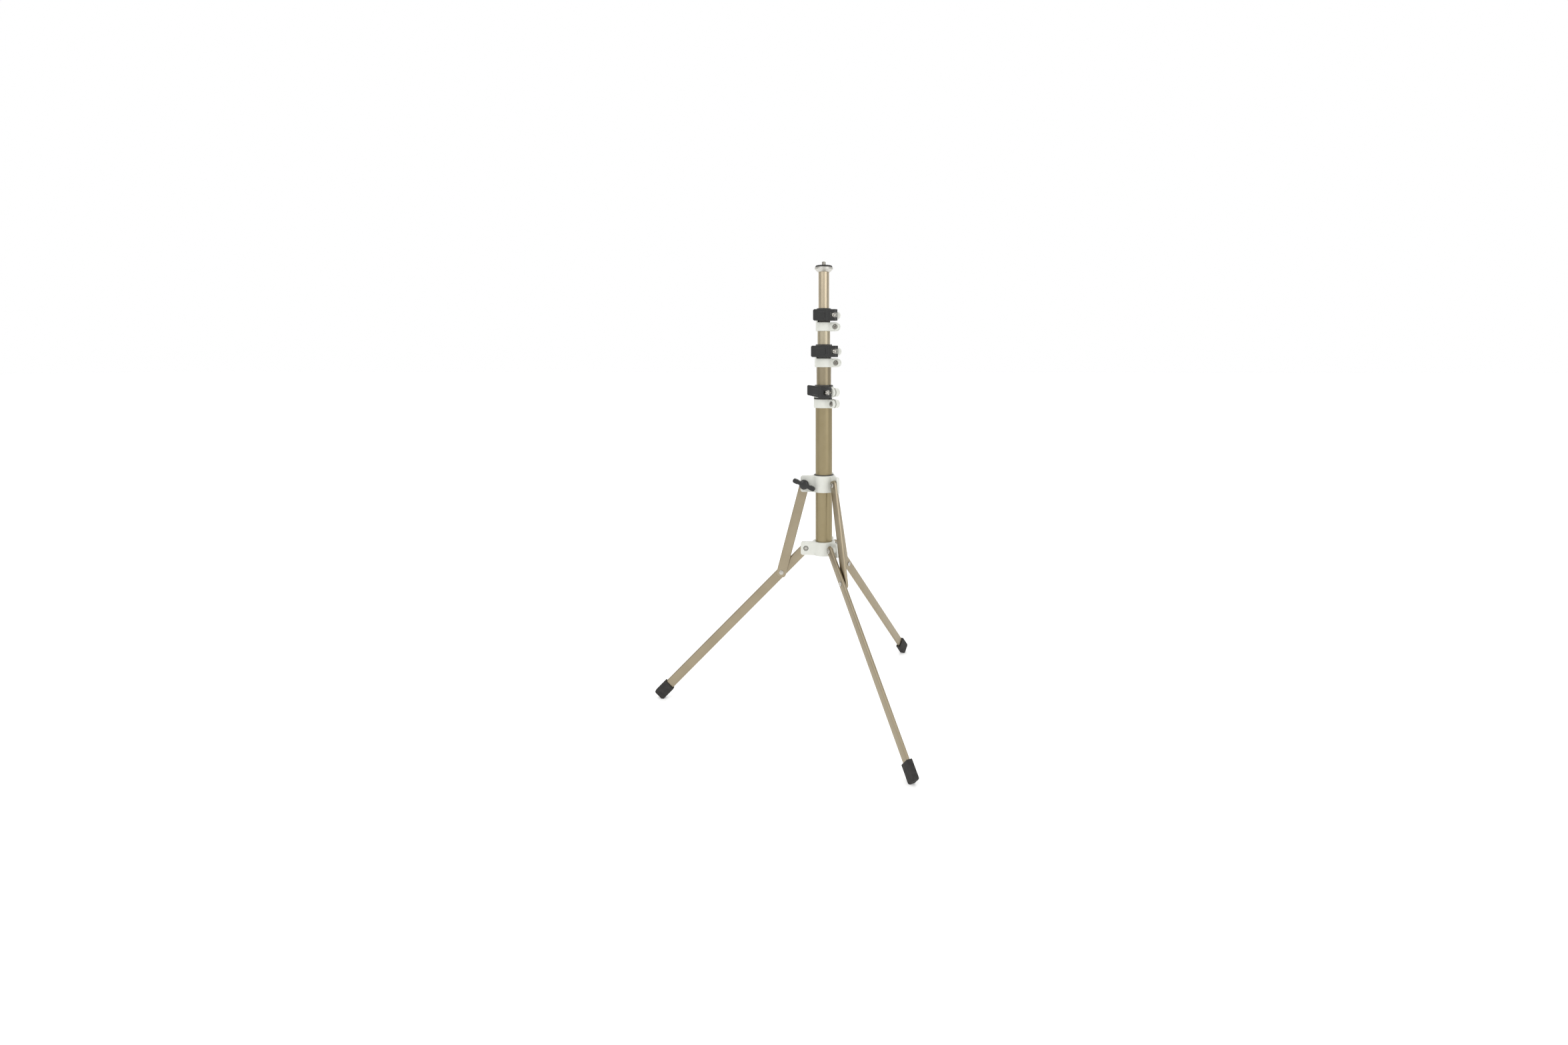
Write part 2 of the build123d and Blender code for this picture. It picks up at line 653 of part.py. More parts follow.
def brace_rivet(number):
    """Half of the rivet that stays in the brace; its head is on the brace's outer side."""
    head_high = brace_layer[1] + rivet_head_height
    head = rod(rivet_head_radius, brace_layer[1], head_high, 0, -brace_length)
    rim = head.edges().filter_by(GeomType.CIRCLE).sort_by(Axis.Y)[-1]
    head = fillet(rim, rivet_head_height * rivet_dome_share)
    shank = rod(pivot_screw_radius, brace_layer[0], brace_layer[1] + joining_overlap, 0, -brace_length)
    return brace_place(number) * (head + shank)


# ---------------------------------------------------------------- top of the pole
def top_plate():
    """Round plate on the top tube, with a conical underside and a socket for the tube's end."""
    rim_base = plate_base + plate_cone_height
    cone = Cone(plate_seat_radius, plate_radius, plate_cone_height)
    cone = Pos(0, 0, plate_base + plate_cone_height / 2) * cone
    rim = disc(plate_radius, rim_base, rim_base + plate_rim_height)
    plate = cone + rim
    outer_edges = plate.edges().filter_by(GeomType.CIRCLE).filter_by(
        lambda edge: abs(edge.radius - plate_radius) < 1e-6
    )
    plate = fillet(outer_edges, plate_edge_radius)
    plate = plate - disc(section_4_radius + assembly_clearance, plate_base - 1, section_top(3))
    return plate - disc(stud_shank_radius + assembly_clearance, plate_base, pad_base + 1)


def plate_pad():
    """Rubber pad on the plate, around the stud."""
    pad = disc(pad_radius, pad_base, pad_base + pad_height)
    pad = fillet(pad.edges().filter_by(GeomType.CIRCLE).sort_by(Axis.Z)[-1], pad_edge_radius)
    return pad - disc(stud_radius + pad_clearance, pad_base - 1, pad_base + pad_height + 1)


def stud_plug():
    """Plug in the top tube that holds the stud."""
    high = section_top(3)
    plug = disc(section_4_radius - tube_wall - assembly_clearance, high - stud_plug_height, high)
    socket_floor = high - stud_plug_height + stud_plug_floor
    return plug - disc(stud_shank_radius + assembly_clearance, socket_floor, high + 1)


def camera_stud():
    """Camera stud: a plain shank in the plug and the plate, a neck in the pad and the thread above."""
    thread = disc(stud_radius, thread_base, pad_base + pad_height + stud_height)
    tip = thread.edges().filter_by(GeomType.CIRCLE).sort_by(Axis.Z)[-1]
    thread = chamfer(tip, stud_tip_chamfer)
    neck = disc(stud_neck_radius, pad_base, thread_base)
    shank = disc(stud_shank_radius, section_top(3) - stud_plug_height + stud_plug_floor, pad_base)
    return thread + neck + shank


# ---------------------------------------------------------------- all pieces by name
def make_parts():
    """Build every piece, standing on z = 0 with the pole on the Z axis."""
    parts = {
        "main_tube": main_tube(),
        "base_plug": base_plug(),
        "leg_hub": leg_hub(),
        "leg_pivot_screws": leg_pivot_screws(),
        "leg_pivot_nuts": pivot_nuts(hub_pivot_radius, leg_pivot_height, (0, 1, 2)),
        "spreader_collar": spreader_collar(),
        "collar_bushing": collar_bushing(),
        "brace_pivot_screws": brace_pivot_screws(),
        "brace_pivot_nuts": pivot_nuts(collar_pivot_radius, collar_pivot_height, (1, 2)),
        "lock_bolt": lock_bolt(),
        "lock_knob": lock_knob(),
        "knob_insert": knob_insert(),
        "top_plate": top_plate(),
        "plate_pad": plate_pad(),
        "stud_plug": stud_plug(),
        "camera_stud": camera_stud(),
    }
    for index in (1, 2, 3):
        parts[f"section_{index + 1}_tube"] = section_tube(index)
        parts[f"section_{index + 1}_guide"] = section_guide(index)
    for index, name in enumerate(("lower", "middle", "upper")):
        parts[f"{name}_clamp_body"] = clamp_body(index)
        parts[f"{name}_clamp_bushing"] = clamp_bushing(index)
        parts[f"{name}_cam_barrel"] = cam_barrel(index)
        parts[f"{name}_cam_bolt"] = cam_bolt(index)
        parts[f"{name}_ring_screw"] = ring_screw(index)
        parts[f"{name}_clamp_nuts"] = clamp_nuts(index)
        parts[f"{name}_lever"] = lever(index)
    for number in range(3):
        parts[f"leg_{number + 1}_tube"] = leg_tube(number)
        parts[f"leg_{number + 1}_foot"] = foot_cap(number)
        parts[f"leg_{number + 1}_rivet"] = leg_rivet(number)
        parts[f"brace_{number + 1}_bar"] = brace_bar(number)
        parts[f"brace_{number + 1}_rivet"] = brace_rivet(number)
    return parts


def origin_shift(parts):
    """Move that brings the bounding box's bottom centre to the origin."""
    boxes = [part.bounding_box() for part in parts.values()]
    low_x = min(box.min.X for box in boxes)
    high_x = max(box.max.X for box in boxes)
    low_y = min(box.min.Y for box in boxes)
    high_y = max(box.max.Y for box in boxes)
    return Pos(-(low_x + high_x) / 2, -(low_y + high_y) / 2, 0)


# ---------------------------------------------------------------- joints
def folded_collar():
    """Collar's pivot height and the braces' angle with the legs folded up."""
    folded = radians(leg_folded_angle)
    run = hub_pivot_radius + brace_pivot_distance * sin(folded) - collar_pivot_radius
    drop = sqrt(brace_length**2 - run**2)
    height = leg_pivot_height + brace_pivot_distance * cos(folded) + drop
    return height, degrees(atan2(run, drop))


def joint_list():
    """Every joint: name, parent, child, a point on it, its axis, and its range in mm or degrees."""
    folded_height, folded_brace = folded_collar()
    fold = 180.0 - leg_folded_angle - leg_spread_angle
    joints = [("collar_slide", "root", "collar", Pos(), (0, 0, 1), (0, folded_height - collar_pivot_height))]
    for number in range(3):
        place = leg_place(number)
        outward = (lug_place(number, 0) * Pos(0, -1, 0)).position
        name = f"leg_{number + 1}"
        joints.append((f"{name}_fold", "root", name, place, tuple(outward), (0, fold)))
        place = brace_place(number)
        name = f"brace_{number + 1}"
        swing = (folded_brace - brace_angle, 0)
        joints.append((f"{name}_swing", "collar", name, place, tuple(outward), swing))
    for index in (1, 2, 3):
        name = f"section_{index + 1}"
        parent = f"section_{index}" if index > 1 else "root"
        travel = (-section_travel_in(index), section_travel_out(index))
        joints.append((f"{name}_slide", parent, name, Pos(), (0, 0, 1), travel))
    for index, name in enumerate(("lower", "middle", "upper")):
        parent = f"section_{index + 1}" if index else "root"
        place = clamp_place(index) * Pos(clamp_bolt_radius(index), -pin_offset, bolt_height)
        joints.append((f"{name}_lever_turn", parent, f"{name}_lever", place, (0, 0, 1), (0, lever_opening)))
    place = lug_place(0, collar_pivot_height) * Pos(collar_pivot_radius, knob_back, 0)
    outward = tuple((lug_place(0, 0) * Pos(0, 1, 0)).position)
    joints.append(("knob_turn", "collar", "knob", place, outward, (0, 360)))
    return joints


pieces = make_parts()
shift = origin_shift(pieces)
os.makedirs("parts", exist_ok=True)
for name, piece in pieces.items():
    export_step(shift * piece, f"parts/{name}.step")
print(f"{len(pieces)} nodes, pole axis at x {shift.position.X:.3f}, y {shift.position.Y:.3f}")
for name, parent, child, place, axis, limits in joint_list():
    at = (shift * place).position
    print(f"{name}: {parent} to {child} at ({at.X:.2f}, {at.Y:.2f}, {at.Z:.2f}), "
          f"axis ({axis[0]:.3f}, {axis[1]:.3f}, {axis[2]:.3f}), {limits[0]:.2f} to {limits[1]:.2f}")
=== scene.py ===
"""Looks of a folding camera stand: a telescopic pole with lever clamps on three braced legs.

Every piece is modelled in millimetres around the CAD frame's own places, then brought to metres.
"""

import json
import logging
import math
from dataclasses import dataclass
from enum import Enum
from typing import Optional, Sequence

import bpy
from mathutils import Matrix, Vector


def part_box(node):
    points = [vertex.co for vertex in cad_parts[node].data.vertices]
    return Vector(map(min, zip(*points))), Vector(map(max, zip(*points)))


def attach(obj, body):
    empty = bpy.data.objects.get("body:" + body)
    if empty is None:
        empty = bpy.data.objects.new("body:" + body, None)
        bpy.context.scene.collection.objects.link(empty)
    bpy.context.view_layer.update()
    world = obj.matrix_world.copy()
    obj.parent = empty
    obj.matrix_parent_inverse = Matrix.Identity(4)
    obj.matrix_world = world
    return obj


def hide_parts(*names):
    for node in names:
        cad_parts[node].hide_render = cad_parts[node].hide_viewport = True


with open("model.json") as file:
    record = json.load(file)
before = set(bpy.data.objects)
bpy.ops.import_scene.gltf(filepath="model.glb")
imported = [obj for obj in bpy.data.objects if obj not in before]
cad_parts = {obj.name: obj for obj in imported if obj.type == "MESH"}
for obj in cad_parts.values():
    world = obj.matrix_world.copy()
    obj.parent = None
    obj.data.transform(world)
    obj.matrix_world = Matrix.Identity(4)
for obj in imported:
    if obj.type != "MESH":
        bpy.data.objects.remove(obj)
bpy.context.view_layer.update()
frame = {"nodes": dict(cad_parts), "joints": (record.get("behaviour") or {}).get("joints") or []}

LOG = logging.getLogger("stand")
MM = 0.001
ROUND_STEPS = 96
SMALL_STEPS = 48
MOULDED_ANGLE = 80.0            # sharpest angle that a moulding is shaded smooth over
BEVEL_ANGLE = 60.0              # edges that turn by less are left as they are
Point = tuple[float, float]
Piece = bpy.types.Object
Tree = bpy.types.NodeTree
Socket = bpy.types.NodeSocket
TO_MINUS_Y = Matrix.Rotation(math.pi / 2, 4, "X")
TO_PLUS_Y = Matrix.Rotation(-math.pi / 2, 4, "X")


class Operation(Enum):
    """How one solid is combined with another."""

    ADD = "UNION"
    CUT = "DIFFERENCE"
    KEEP_COMMON = "INTERSECT"


class Slot(Enum):
    """Material slots of the record."""

    CHAMPAGNE = "champagne_aluminium"
    WHITE = "white_plastic"
    BLACK = "black_plastic"
    NYLON = "dark_nylon"
    RUBBER = "rubber"
    PLAIN = "plain_aluminium"
    STEEL = "steel"
    BRASS = "brass"


# ---------------------------------------------------------------- modelling steps
def pick(piece: Piece) -> None:
    """Make a piece the only selected object and the active one.

    Args:
        piece: The object to work on.
    """
    bpy.ops.object.select_all(action="DESELECT")
    piece.select_set(True)
    bpy.context.view_layer.objects.active = piece


def apply_modifier(piece: Piece, kind: str, **settings: object) -> None:
    """Add a modifier, set it and apply it.

    Args:
        piece: The object to change.
        kind: The modifier's type.
        settings: Values of the modifier's properties.
    """
    pick(piece)
    bpy.ops.object.modifier_add(type=kind)
    modifier = piece.modifiers[-1]
    for name, value in settings.items():
        setattr(modifier, name, value)
    bpy.ops.object.modifier_apply(modifier=modifier.name)


def turn_to(piece: Piece, place: Matrix) -> Piece:
    """Move a piece by a matrix and apply that to its mesh.

    Args:
        piece: The object to move.
        place: The move, in the piece's own units.

    Returns:
        The same object.
    """
    pick(piece)
    piece.matrix_world = place @ piece.matrix_world
    bpy.ops.object.transform_apply(location=True, rotation=True, scale=True)
    return piece


def line_of_vertices(points: Sequence[Vector]) -> Piece:
    """Draw a line of edges by extruding one vertex from point to point.

    Args:
        points: The places that the line goes through.

    Returns:
        An object in edit mode, with its last vertex selected.
    """
    bpy.ops.object.select_all(action="DESELECT")
    bpy.ops.mesh.primitive_plane_add(size=1.0, location=points[0])
    piece = bpy.context.active_object
    bpy.ops.object.transform_apply(location=True, rotation=True, scale=True)
    bpy.ops.object.mode_set(mode="EDIT")
    bpy.ops.mesh.select_mode(type="VERT")
    bpy.ops.mesh.select_all(action="SELECT")
    bpy.ops.mesh.merge(type="CENTER")
    for start, end in zip(points, points[1:]):
        bpy.ops.mesh.extrude_region_move(TRANSFORM_OT_translate={"value": end - start})
    return piece


def close_up(piece: Piece) -> Piece:
    """Merge doubles, turn the normals outwards and leave edit mode.

    Args:
        piece: An object in edit mode.

    Returns:
        The same object.
    """
    bpy.ops.mesh.select_all(action="SELECT")
    bpy.ops.mesh.remove_doubles(threshold=1e-4)
    bpy.ops.mesh.normals_make_consistent(inside=False)
    bpy.ops.object.mode_set(mode="OBJECT")
    return piece


def turned(outline: Sequence[Point], steps: int = ROUND_STEPS) -> Piece:
    """Spin an outline about the Z axis, as on a lathe.

    Args:
        outline: Radius and height of each point. It ends on the axis or where it began.
        steps: Number of steps round the axis.

    Returns:
        The turned object.
    """
    piece = line_of_vertices([Vector((radius, 0.0, height)) for radius, height in outline])
    bpy.ops.mesh.select_all(action="SELECT")
    bpy.ops.mesh.spin(steps=steps, angle=math.tau, center=(0, 0, 0), axis=(0, 0, 1))
    return close_up(piece)


def prism(outline: Sequence[Point], low: float, high: float) -> Piece:
    """Extrude a flat outline along Z.

    Args:
        outline: Corner points in order.
        low: Lower height.
        high: Upper height.

    Returns:
        The extruded object.
    """
    piece = line_of_vertices([Vector((x, y, low)) for x, y in outline])
    bpy.ops.mesh.select_all(action="SELECT")
    bpy.ops.mesh.edge_face_add()
    bpy.ops.mesh.extrude_region_move(TRANSFORM_OT_translate={"value": (0, 0, high - low)})
    return close_up(piece)


def upright(outline: Sequence[Point], low: float, high: float) -> Piece:
    """Extrude an outline, drawn as X across and Z up, from one Y to another."""
    return turn_to(prism(outline, -high, -low), TO_MINUS_Y)


def block(low: Sequence[float], high: Sequence[float]) -> Piece:
    """Box between its lowest and its highest corner, used to cut with."""
    (left, front, bottom), (right, back, top) = low, high
    return prism([(left, front), (right, front), (right, back), (left, back)], bottom, top)


def round_bar(radius: float, low: float, high: float, steps: int = SMALL_STEPS) -> Piece:
    """Plain round bar along Z, used to add to or cut from another piece.

    Args:
        radius: The bar's radius.
        low: Lower end.
        high: Upper end.
        steps: Number of sides.

    Returns:
        The bar.
    """
    bpy.ops.object.select_all(action="DESELECT")
    middle = (0, 0, (low + high) / 2)
    bpy.ops.mesh.primitive_cylinder_add(vertices=steps, radius=radius, depth=high - low, location=middle)
    bpy.ops.object.transform_apply(location=True, rotation=True, scale=True)
    return bpy.context.active_object


def along_y(piece: Piece, x: float = 0.0, z: float = 0.0) -> Piece:
    """Turn a piece made along Z so that its Z points along Y, with its axis at an X and a Z."""
    return turn_to(piece, Matrix.Translation((x, 0, z)) @ TO_PLUS_Y)


def combine(piece: Piece, other: Piece, operation: Operation) -> Piece:
    """Add, cut or intersect with another solid, which is used up.

    Args:
        piece: The object that is kept.
        other: The tool.
        operation: What is done.

    Returns:
        The kept object.
    """
    apply_modifier(piece, "BOOLEAN", operation=operation.value, object=other, solver="EXACT")
    bpy.data.objects.remove(other)
    return piece


def bevelled(piece: Piece, width: float, segments: int) -> Piece:
    """Round every edge that turns by more than BEVEL_ANGLE.

    Args:
        piece: The object to change.
        width: The bevel's width.
        segments: Steps across the bevel.

    Returns:
        The same object.
    """
    apply_modifier(piece, "BEVEL", width=width, segments=segments, limit_method="ANGLE",
                   angle_limit=math.radians(BEVEL_ANGLE), harden_normals=False)
    return piece


def moulded(piece: Piece, grain: float, passes: int) -> Piece:
    """Give a solid the soft edges and blends of a moulding.

    Args:
        piece: The object to change.
        grain: Size of the new faces.
        passes: Smoothing passes; more of them make rounder edges.

    Returns:
        The same object.
    """
    apply_modifier(piece, "REMESH", mode="VOXEL", voxel_size=grain, adaptivity=0.0)
    apply_modifier(piece, "SMOOTH", factor=0.5, iterations=passes)
    return piece


def smooth(piece: Piece, angle: float = 35.0) -> Piece:
    """Shade a piece smooth, with edges sharper than an angle left crisp.

    Args:
        piece: The object to shade.
        angle: Sharpest angle that is smoothed, in degrees.

    Returns:
        The same object.
    """
    pick(piece)
    bpy.ops.object.shade_smooth_by_angle(angle=math.radians(angle))
    return piece


def copy_of(piece: Piece) -> Piece:
    """Copy a piece together with its mesh.

    Args:
        piece: The object to copy.

    Returns:
        The copy.
    """
    twin = piece.copy()
    twin.data = piece.data.copy()
    bpy.context.scene.collection.objects.link(twin)
    return twin


def arc(centre: Point, radius: float, start: float, end: float, steps: int) -> list[Point]:
    """Points along an arc between two angles in degrees, both ends included."""
    angles = [math.radians(start + (end - start) * step / steps) for step in range(steps + 1)]
    return [(centre[0] + radius * math.cos(a), centre[1] + radius * math.sin(a)) for a in angles]


def rounded(corners: Sequence[tuple[float, float, float]], steps: int = 6) -> list[Point]:
    """Outline with a round at each corner.

    Args:
        corners: X, Y and corner radius of each corner, in order.
        steps: Steps round a corner.

    Returns:
        The outline's points.
    """
    outline: list[Point] = []
    for index, (x, y, radius) in enumerate(corners):
        if radius <= 0:
            outline.append((x, y))
            continue
        corner = Vector((x, y))
        back = (Vector(corners[index - 1][:2]) - corner).normalized()
        ahead = (Vector(corners[(index + 1) % len(corners)][:2]) - corner).normalized()
        half = back.angle(ahead) / 2
        centre = corner + (back + ahead).normalized() * (radius / math.sin(half))
        first = corner + back * (radius / math.tan(half)) - centre
        last = corner + ahead * (radius / math.tan(half)) - centre
        start = math.degrees(math.atan2(first.y, first.x))
        sweep = (math.degrees(math.atan2(last.y, last.x)) - start + 180) % 360 - 180
        outline += arc((centre.x, centre.y), radius, start, start + sweep, steps)
    return outline


# ---------------------------------------------------------------- places from the frame
def joint(name: str) -> dict:
    """The record's joint of that name."""
    return next(entry for entry in frame["joints"] if entry["name"] == name)


def axis_point() -> Vector:
    """The pole's axis at floor height, in millimetres.

    Returns:
        The point.
    """
    low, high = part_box("main_tube")
    middle = (low + high) / 2 / MM
    return Vector((middle.x, middle.y, 0))


def heights(node: str) -> tuple[float, float]:
    """Lowest and highest point of a node, in millimetres."""
    low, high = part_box(node)
    return low.z / MM, high.z / MM


def pole_place(height: float = 0.0, azimuth: float = 0.0) -> Matrix:
    """Frame on the pole's axis.

    Args:
        height: Its height in millimetres.
        azimuth: Direction of its X axis in degrees.

    Returns:
        The frame's matrix.
    """
    spot = axis_point()
    return Matrix.Translation((spot.x, spot.y, height)) @ Matrix.Rotation(math.radians(azimuth), 4, "Z")


def pivot_azimuth(name: str) -> float:
    """Direction in degrees, as seen from the pole, of a hinge whose axis is level.

    Args:
        name: The hinge's joint.

    Returns:
        The direction.
    """
    tangent = -Vector(joint(name)["axis"])
    radial = tangent.cross(Vector((0, 0, 1)))
    return math.degrees(math.atan2(radial.y, radial.x))


def pivot_place(name: str, lean: float = 0.0) -> Matrix:
    """Frame on a hinge: X away from the pole, Y anticlockwise round it, Z up.

    Args:
        name: The hinge's joint.
        lean: Turn about Y in degrees.

    Returns:
        The frame's matrix.
    """
    spot = Vector(joint(name)["pos_m"]) / MM
    turn = Matrix.Rotation(math.radians(pivot_azimuth(name)), 4, "Z")
    return Matrix.Translation(spot) @ turn @ Matrix.Rotation(math.radians(lean), 4, "Y")


# ---------------------------------------------------------------- finishes
def srgb(code: str) -> tuple[float, float, float, float]:
    """Turn a hex sRGB colour into linear red, green, blue and alpha.

    Args:
        code: Six hex digits after a hash.

    Returns:
        The linear colour.
    """
    values = [int(code[index:index + 2], 16) / 255 for index in (1, 3, 5)]
    linear = [v / 12.92 if v <= 0.04045 else ((v + 0.055) / 1.055) ** 2.4 for v in values]
    return (linear[0], linear[1], linear[2], 1.0)


def add_node(tree: Tree, kind: str, settings: Optional[dict] = None,
             values: Optional[dict] = None, links: Optional[dict] = None) -> bpy.types.Node:
    """Add a node with its settings, socket values and incoming links.

    Args:
        tree: The node tree.
        kind: The node's type.
        settings: Properties of the node.
        values: Constants on its input sockets.
        links: Output sockets to join to its inputs.

    Returns:
        The new node.
    """
    node = tree.nodes.new(kind)
    for name, value in (settings or {}).items():
        setattr(node, name, value)
    for name, value in (values or {}).items():
        node.inputs[name].default_value = value
    for name, source in (links or {}).items():
        tree.links.new(source, node.inputs[name])
    return node


def per_mm(spacing: float) -> float:
    """Texture scale, in turns per metre, of a pattern that repeats every so many millimetres."""
    return 1 / (spacing * MM)


def start_material(name: str) -> tuple[bpy.types.Material, Tree, bpy.types.Node]:
    """New material with an output and a Principled shader.

    Args:
        name: The material's name.

    Returns:
        The material, its tree and the shader.
    """
    material = bpy.data.materials.new(name)
    material.use_nodes = True
    tree = material.node_tree
    tree.nodes.clear()
    shader = add_node(tree, "ShaderNodeBsdfPrincipled")
    add_node(tree, "ShaderNodeOutputMaterial", links={"Surface": shader.outputs["BSDF"]})
    return material, tree, shader


def object_coordinates(tree: Tree, turn: Matrix = Matrix.Identity(3),
                       centre: Sequence[float] = (0, 0, 0)) -> Socket:
    """Object coordinates in metres, turned and centred on a piece.

    Args:
        tree: The node tree.
        turn: Rotation from the piece's grain direction to Z.
        centre: Place that becomes the origin, in metres.

    Returns:
        The socket that gives them.
    """
    coordinates = add_node(tree, "ShaderNodeTexCoord")
    offset = -(turn @ Vector(centre))
    mapping = add_node(tree, "ShaderNodeMapping", values={"Rotation": turn.to_euler(), "Location": offset},
                       links={"Vector": coordinates.outputs["Object"]})
    return mapping.outputs["Vector"]


def spread_noise(tree: Tree, vector: Socket, spacing: float, detail: float,
                 low: float, high: float) -> Socket:
    """Noise of a given size, stretched to a range.

    Args:
        tree: The node tree.
        vector: Coordinates in metres.
        spacing: Size of the pattern in millimetres.
        detail: Levels of finer noise.
        low: Result in the darkest spots.
        high: Result in the lightest spots.

    Returns:
        The socket with the result.
    """
    noise = add_node(tree, "ShaderNodeTexNoise", values={"Scale": per_mm(spacing), "Detail": detail},
                     links={"Vector": vector})
    spread = add_node(tree, "ShaderNodeMapRange",
                      values={"From Min": 0.3, "From Max": 0.7, "To Min": low, "To Max": high},
                      links={"Value": noise.outputs["Fac"]})
    return spread.outputs["Result"]


def two_tones(tree: Tree, amount: Socket, first: str, second: str) -> Socket:
    """Colour between two hex colours.

    Args:
        tree: The node tree.
        amount: Share of the second colour.
        first: Hex colour at 0.
        second: Hex colour at 1.

    Returns:
        The colour socket.
    """
    ramp = add_node(tree, "ShaderNodeValToRGB", links={"Fac": amount})
    ramp.color_ramp.elements[0].color = srgb(first)
    ramp.color_ramp.elements[1].color = srgb(second)
    return ramp.outputs["Color"]


def add_bump(tree: Tree, shader: bpy.types.Node, height: Socket, depth: float) -> None:
    """Raise a shader's surface by a pattern.

    Args:
        tree: The node tree.
        shader: The Principled shader.
        height: The pattern, from 0 to 1.
        depth: Height of 1, in millimetres.
    """
    bump = add_node(tree, "ShaderNodeBump", values={"Strength": 1.0, "Distance": depth * MM},
                    links={"Height": height})
    tree.links.new(bump.outputs["Normal"], shader.inputs["Normal"])


@dataclass(frozen=True)
class AnodisedAluminium:
    """Champagne anodised aluminium, drawn and satin etched: soft highlights along its drawing lines."""

    tone: str
    second_tone: str
    roughness: float = 0.35
    line_spacing: float = 0.5       # finer in fact; this coarse so that it shows
    line_length: float = 40.0
    line_depth: float = 0.002

    def material(self, name: str, turn: Matrix = Matrix.Identity(3)) -> bpy.types.Material:
        """Build the material.

        Args:
            name: The material's name.
            turn: Rotation from the piece's length to Z.

        Returns:
            The material.
        """
        material, tree, shader = start_material(name)
        vector = object_coordinates(tree, turn)
        ratio = self.line_spacing / self.line_length
        lengthwise = add_node(tree, "ShaderNodeMapping", values={"Scale": (1, 1, ratio)},
                              links={"Vector": vector})
        lines = spread_noise(tree, lengthwise.outputs["Vector"], self.line_spacing, 3.0, 0.0, 1.0)
        cloud = spread_noise(tree, vector, 25.0, 2.0, 0.0, 1.0)
        tree.links.new(two_tones(tree, cloud, self.tone, self.second_tone), shader.inputs["Base Color"])
        gloss = add_node(tree, "ShaderNodeMapRange", links={"Value": lines}, values={
            "To Min": self.roughness - 0.04, "To Max": self.roughness + 0.04})
        tree.links.new(gloss.outputs["Result"], shader.inputs["Roughness"])
        shader.inputs["Metallic"].default_value = 1.0
        add_bump(tree, shader, lines, self.line_depth)
        return material


@dataclass(frozen=True)
class MouldedPlastic:
    """Injection-moulded plastic: an even colour, a fine spark-eroded grain and a slightly uneven gloss."""

    name: str
    tone: str
    second_tone: str
    roughness: float
    grain: float = 0.35             # real grain is about half this; it is drawn coarser so that it shows
    grain_depth: float = 0.012
    ior: float = 1.53

    def material(self) -> bpy.types.Material:
        """Build the material.

        Returns:
            The material.
        """
        material, tree, shader = start_material(self.name)
        vector = object_coordinates(tree)
        cloud = spread_noise(tree, vector, 9.0, 3.0, 0.0, 1.0)
        tree.links.new(two_tones(tree, cloud, self.tone, self.second_tone), shader.inputs["Base Color"])
        dull = spread_noise(tree, vector, 3.0, 2.0, self.roughness - 0.05, self.roughness + 0.05)
        tree.links.new(dull, shader.inputs["Roughness"])
        shader.inputs["IOR"].default_value = self.ior
        add_bump(tree, shader, spread_noise(tree, vector, self.grain, 2.0, 0.0, 1.0), self.grain_depth)
        return material


@dataclass(frozen=True)
class MouldedRubber:
    """Moulded rubber: nearly no gloss, a dusty bloom in patches and a fine pebbled skin."""

    name: str = "moulded_rubber"
    tone: str = "#262524"
    bloom: str = "#33312F"
    roughness: float = 0.82
    pebble: float = 0.5
    pebble_depth: float = 0.03

    def material(self) -> bpy.types.Material:
        """Build the material.

        Returns:
            The material.
        """
        material, tree, shader = start_material(self.name)
        vector = object_coordinates(tree)
        cloud = spread_noise(tree, vector, 5.0, 4.0, 0.0, 1.0)
        tree.links.new(two_tones(tree, cloud, self.tone, self.bloom), shader.inputs["Base Color"])
        shader.inputs["Roughness"].default_value = self.roughness
        shader.inputs["Specular IOR Level"].default_value = 0.35
        add_bump(tree, shader, spread_noise(tree, vector, self.pebble, 2.0, 0.0, 1.0), self.pebble_depth)
        return material


@dataclass(frozen=True)
class TurnedMetal:
    """Metal faced on a lathe: fine rings round the pole that pull the highlights into a fan."""

    name: str = "turned_aluminium"
    tone: str = "#C8C6C0"
    roughness: float = 0.40
    ring_spacing: float = 0.4
    ring_depth: float = 0.003

    def material(self) -> bpy.types.Material:
        """Build the material.

        Returns:
            The material.
        """
        material, tree, shader = start_material(self.name)
        vector = object_coordinates(tree, centre=axis_point() * MM)
        rings = add_node(tree, "ShaderNodeTexWave", settings={"wave_type": "RINGS", "rings_direction": "Z"},
                         links={"Vector": vector},
                         values={"Scale": per_mm(self.ring_spacing) / math.tau, "Distortion": 0.4,
                                 "Detail": 2.0})
        shader.inputs["Base Color"].default_value = srgb(self.tone)
        shader.inputs["Metallic"].default_value = 1.0
        dull = spread_noise(tree, vector, 4.0, 2.0, self.roughness - 0.05, self.roughness + 0.05)
        tree.links.new(dull, shader.inputs["Roughness"])
        add_bump(tree, shader, rings.outputs["Fac"], self.ring_depth)
        return material


@dataclass(frozen=True)
class PlatedMetal:
    """Barrel-plated small hardware: bright, with faint cloudy patches and fine tumbling marks."""

    name: str
    tone: str
    roughness: float
    mark: float = 0.4
    mark_depth: float = 0.004

    def material(self) -> bpy.types.Material:
        """Build the material.

        Returns:
            The material.
        """
        material, tree, shader = start_material(self.name)
        vector = object_coordinates(tree)
        shader.inputs["Base Color"].default_value = srgb(self.tone)
        shader.inputs["Metallic"].default_value = 1.0
        patches = spread_noise(tree, vector, 1.5, 3.0, self.roughness - 0.06, self.roughness + 0.08)
        tree.links.new(patches, shader.inputs["Roughness"])
        add_bump(tree, shader, spread_noise(tree, vector, self.mark, 4.0, 0.0, 1.0), self.mark_depth)
        return material


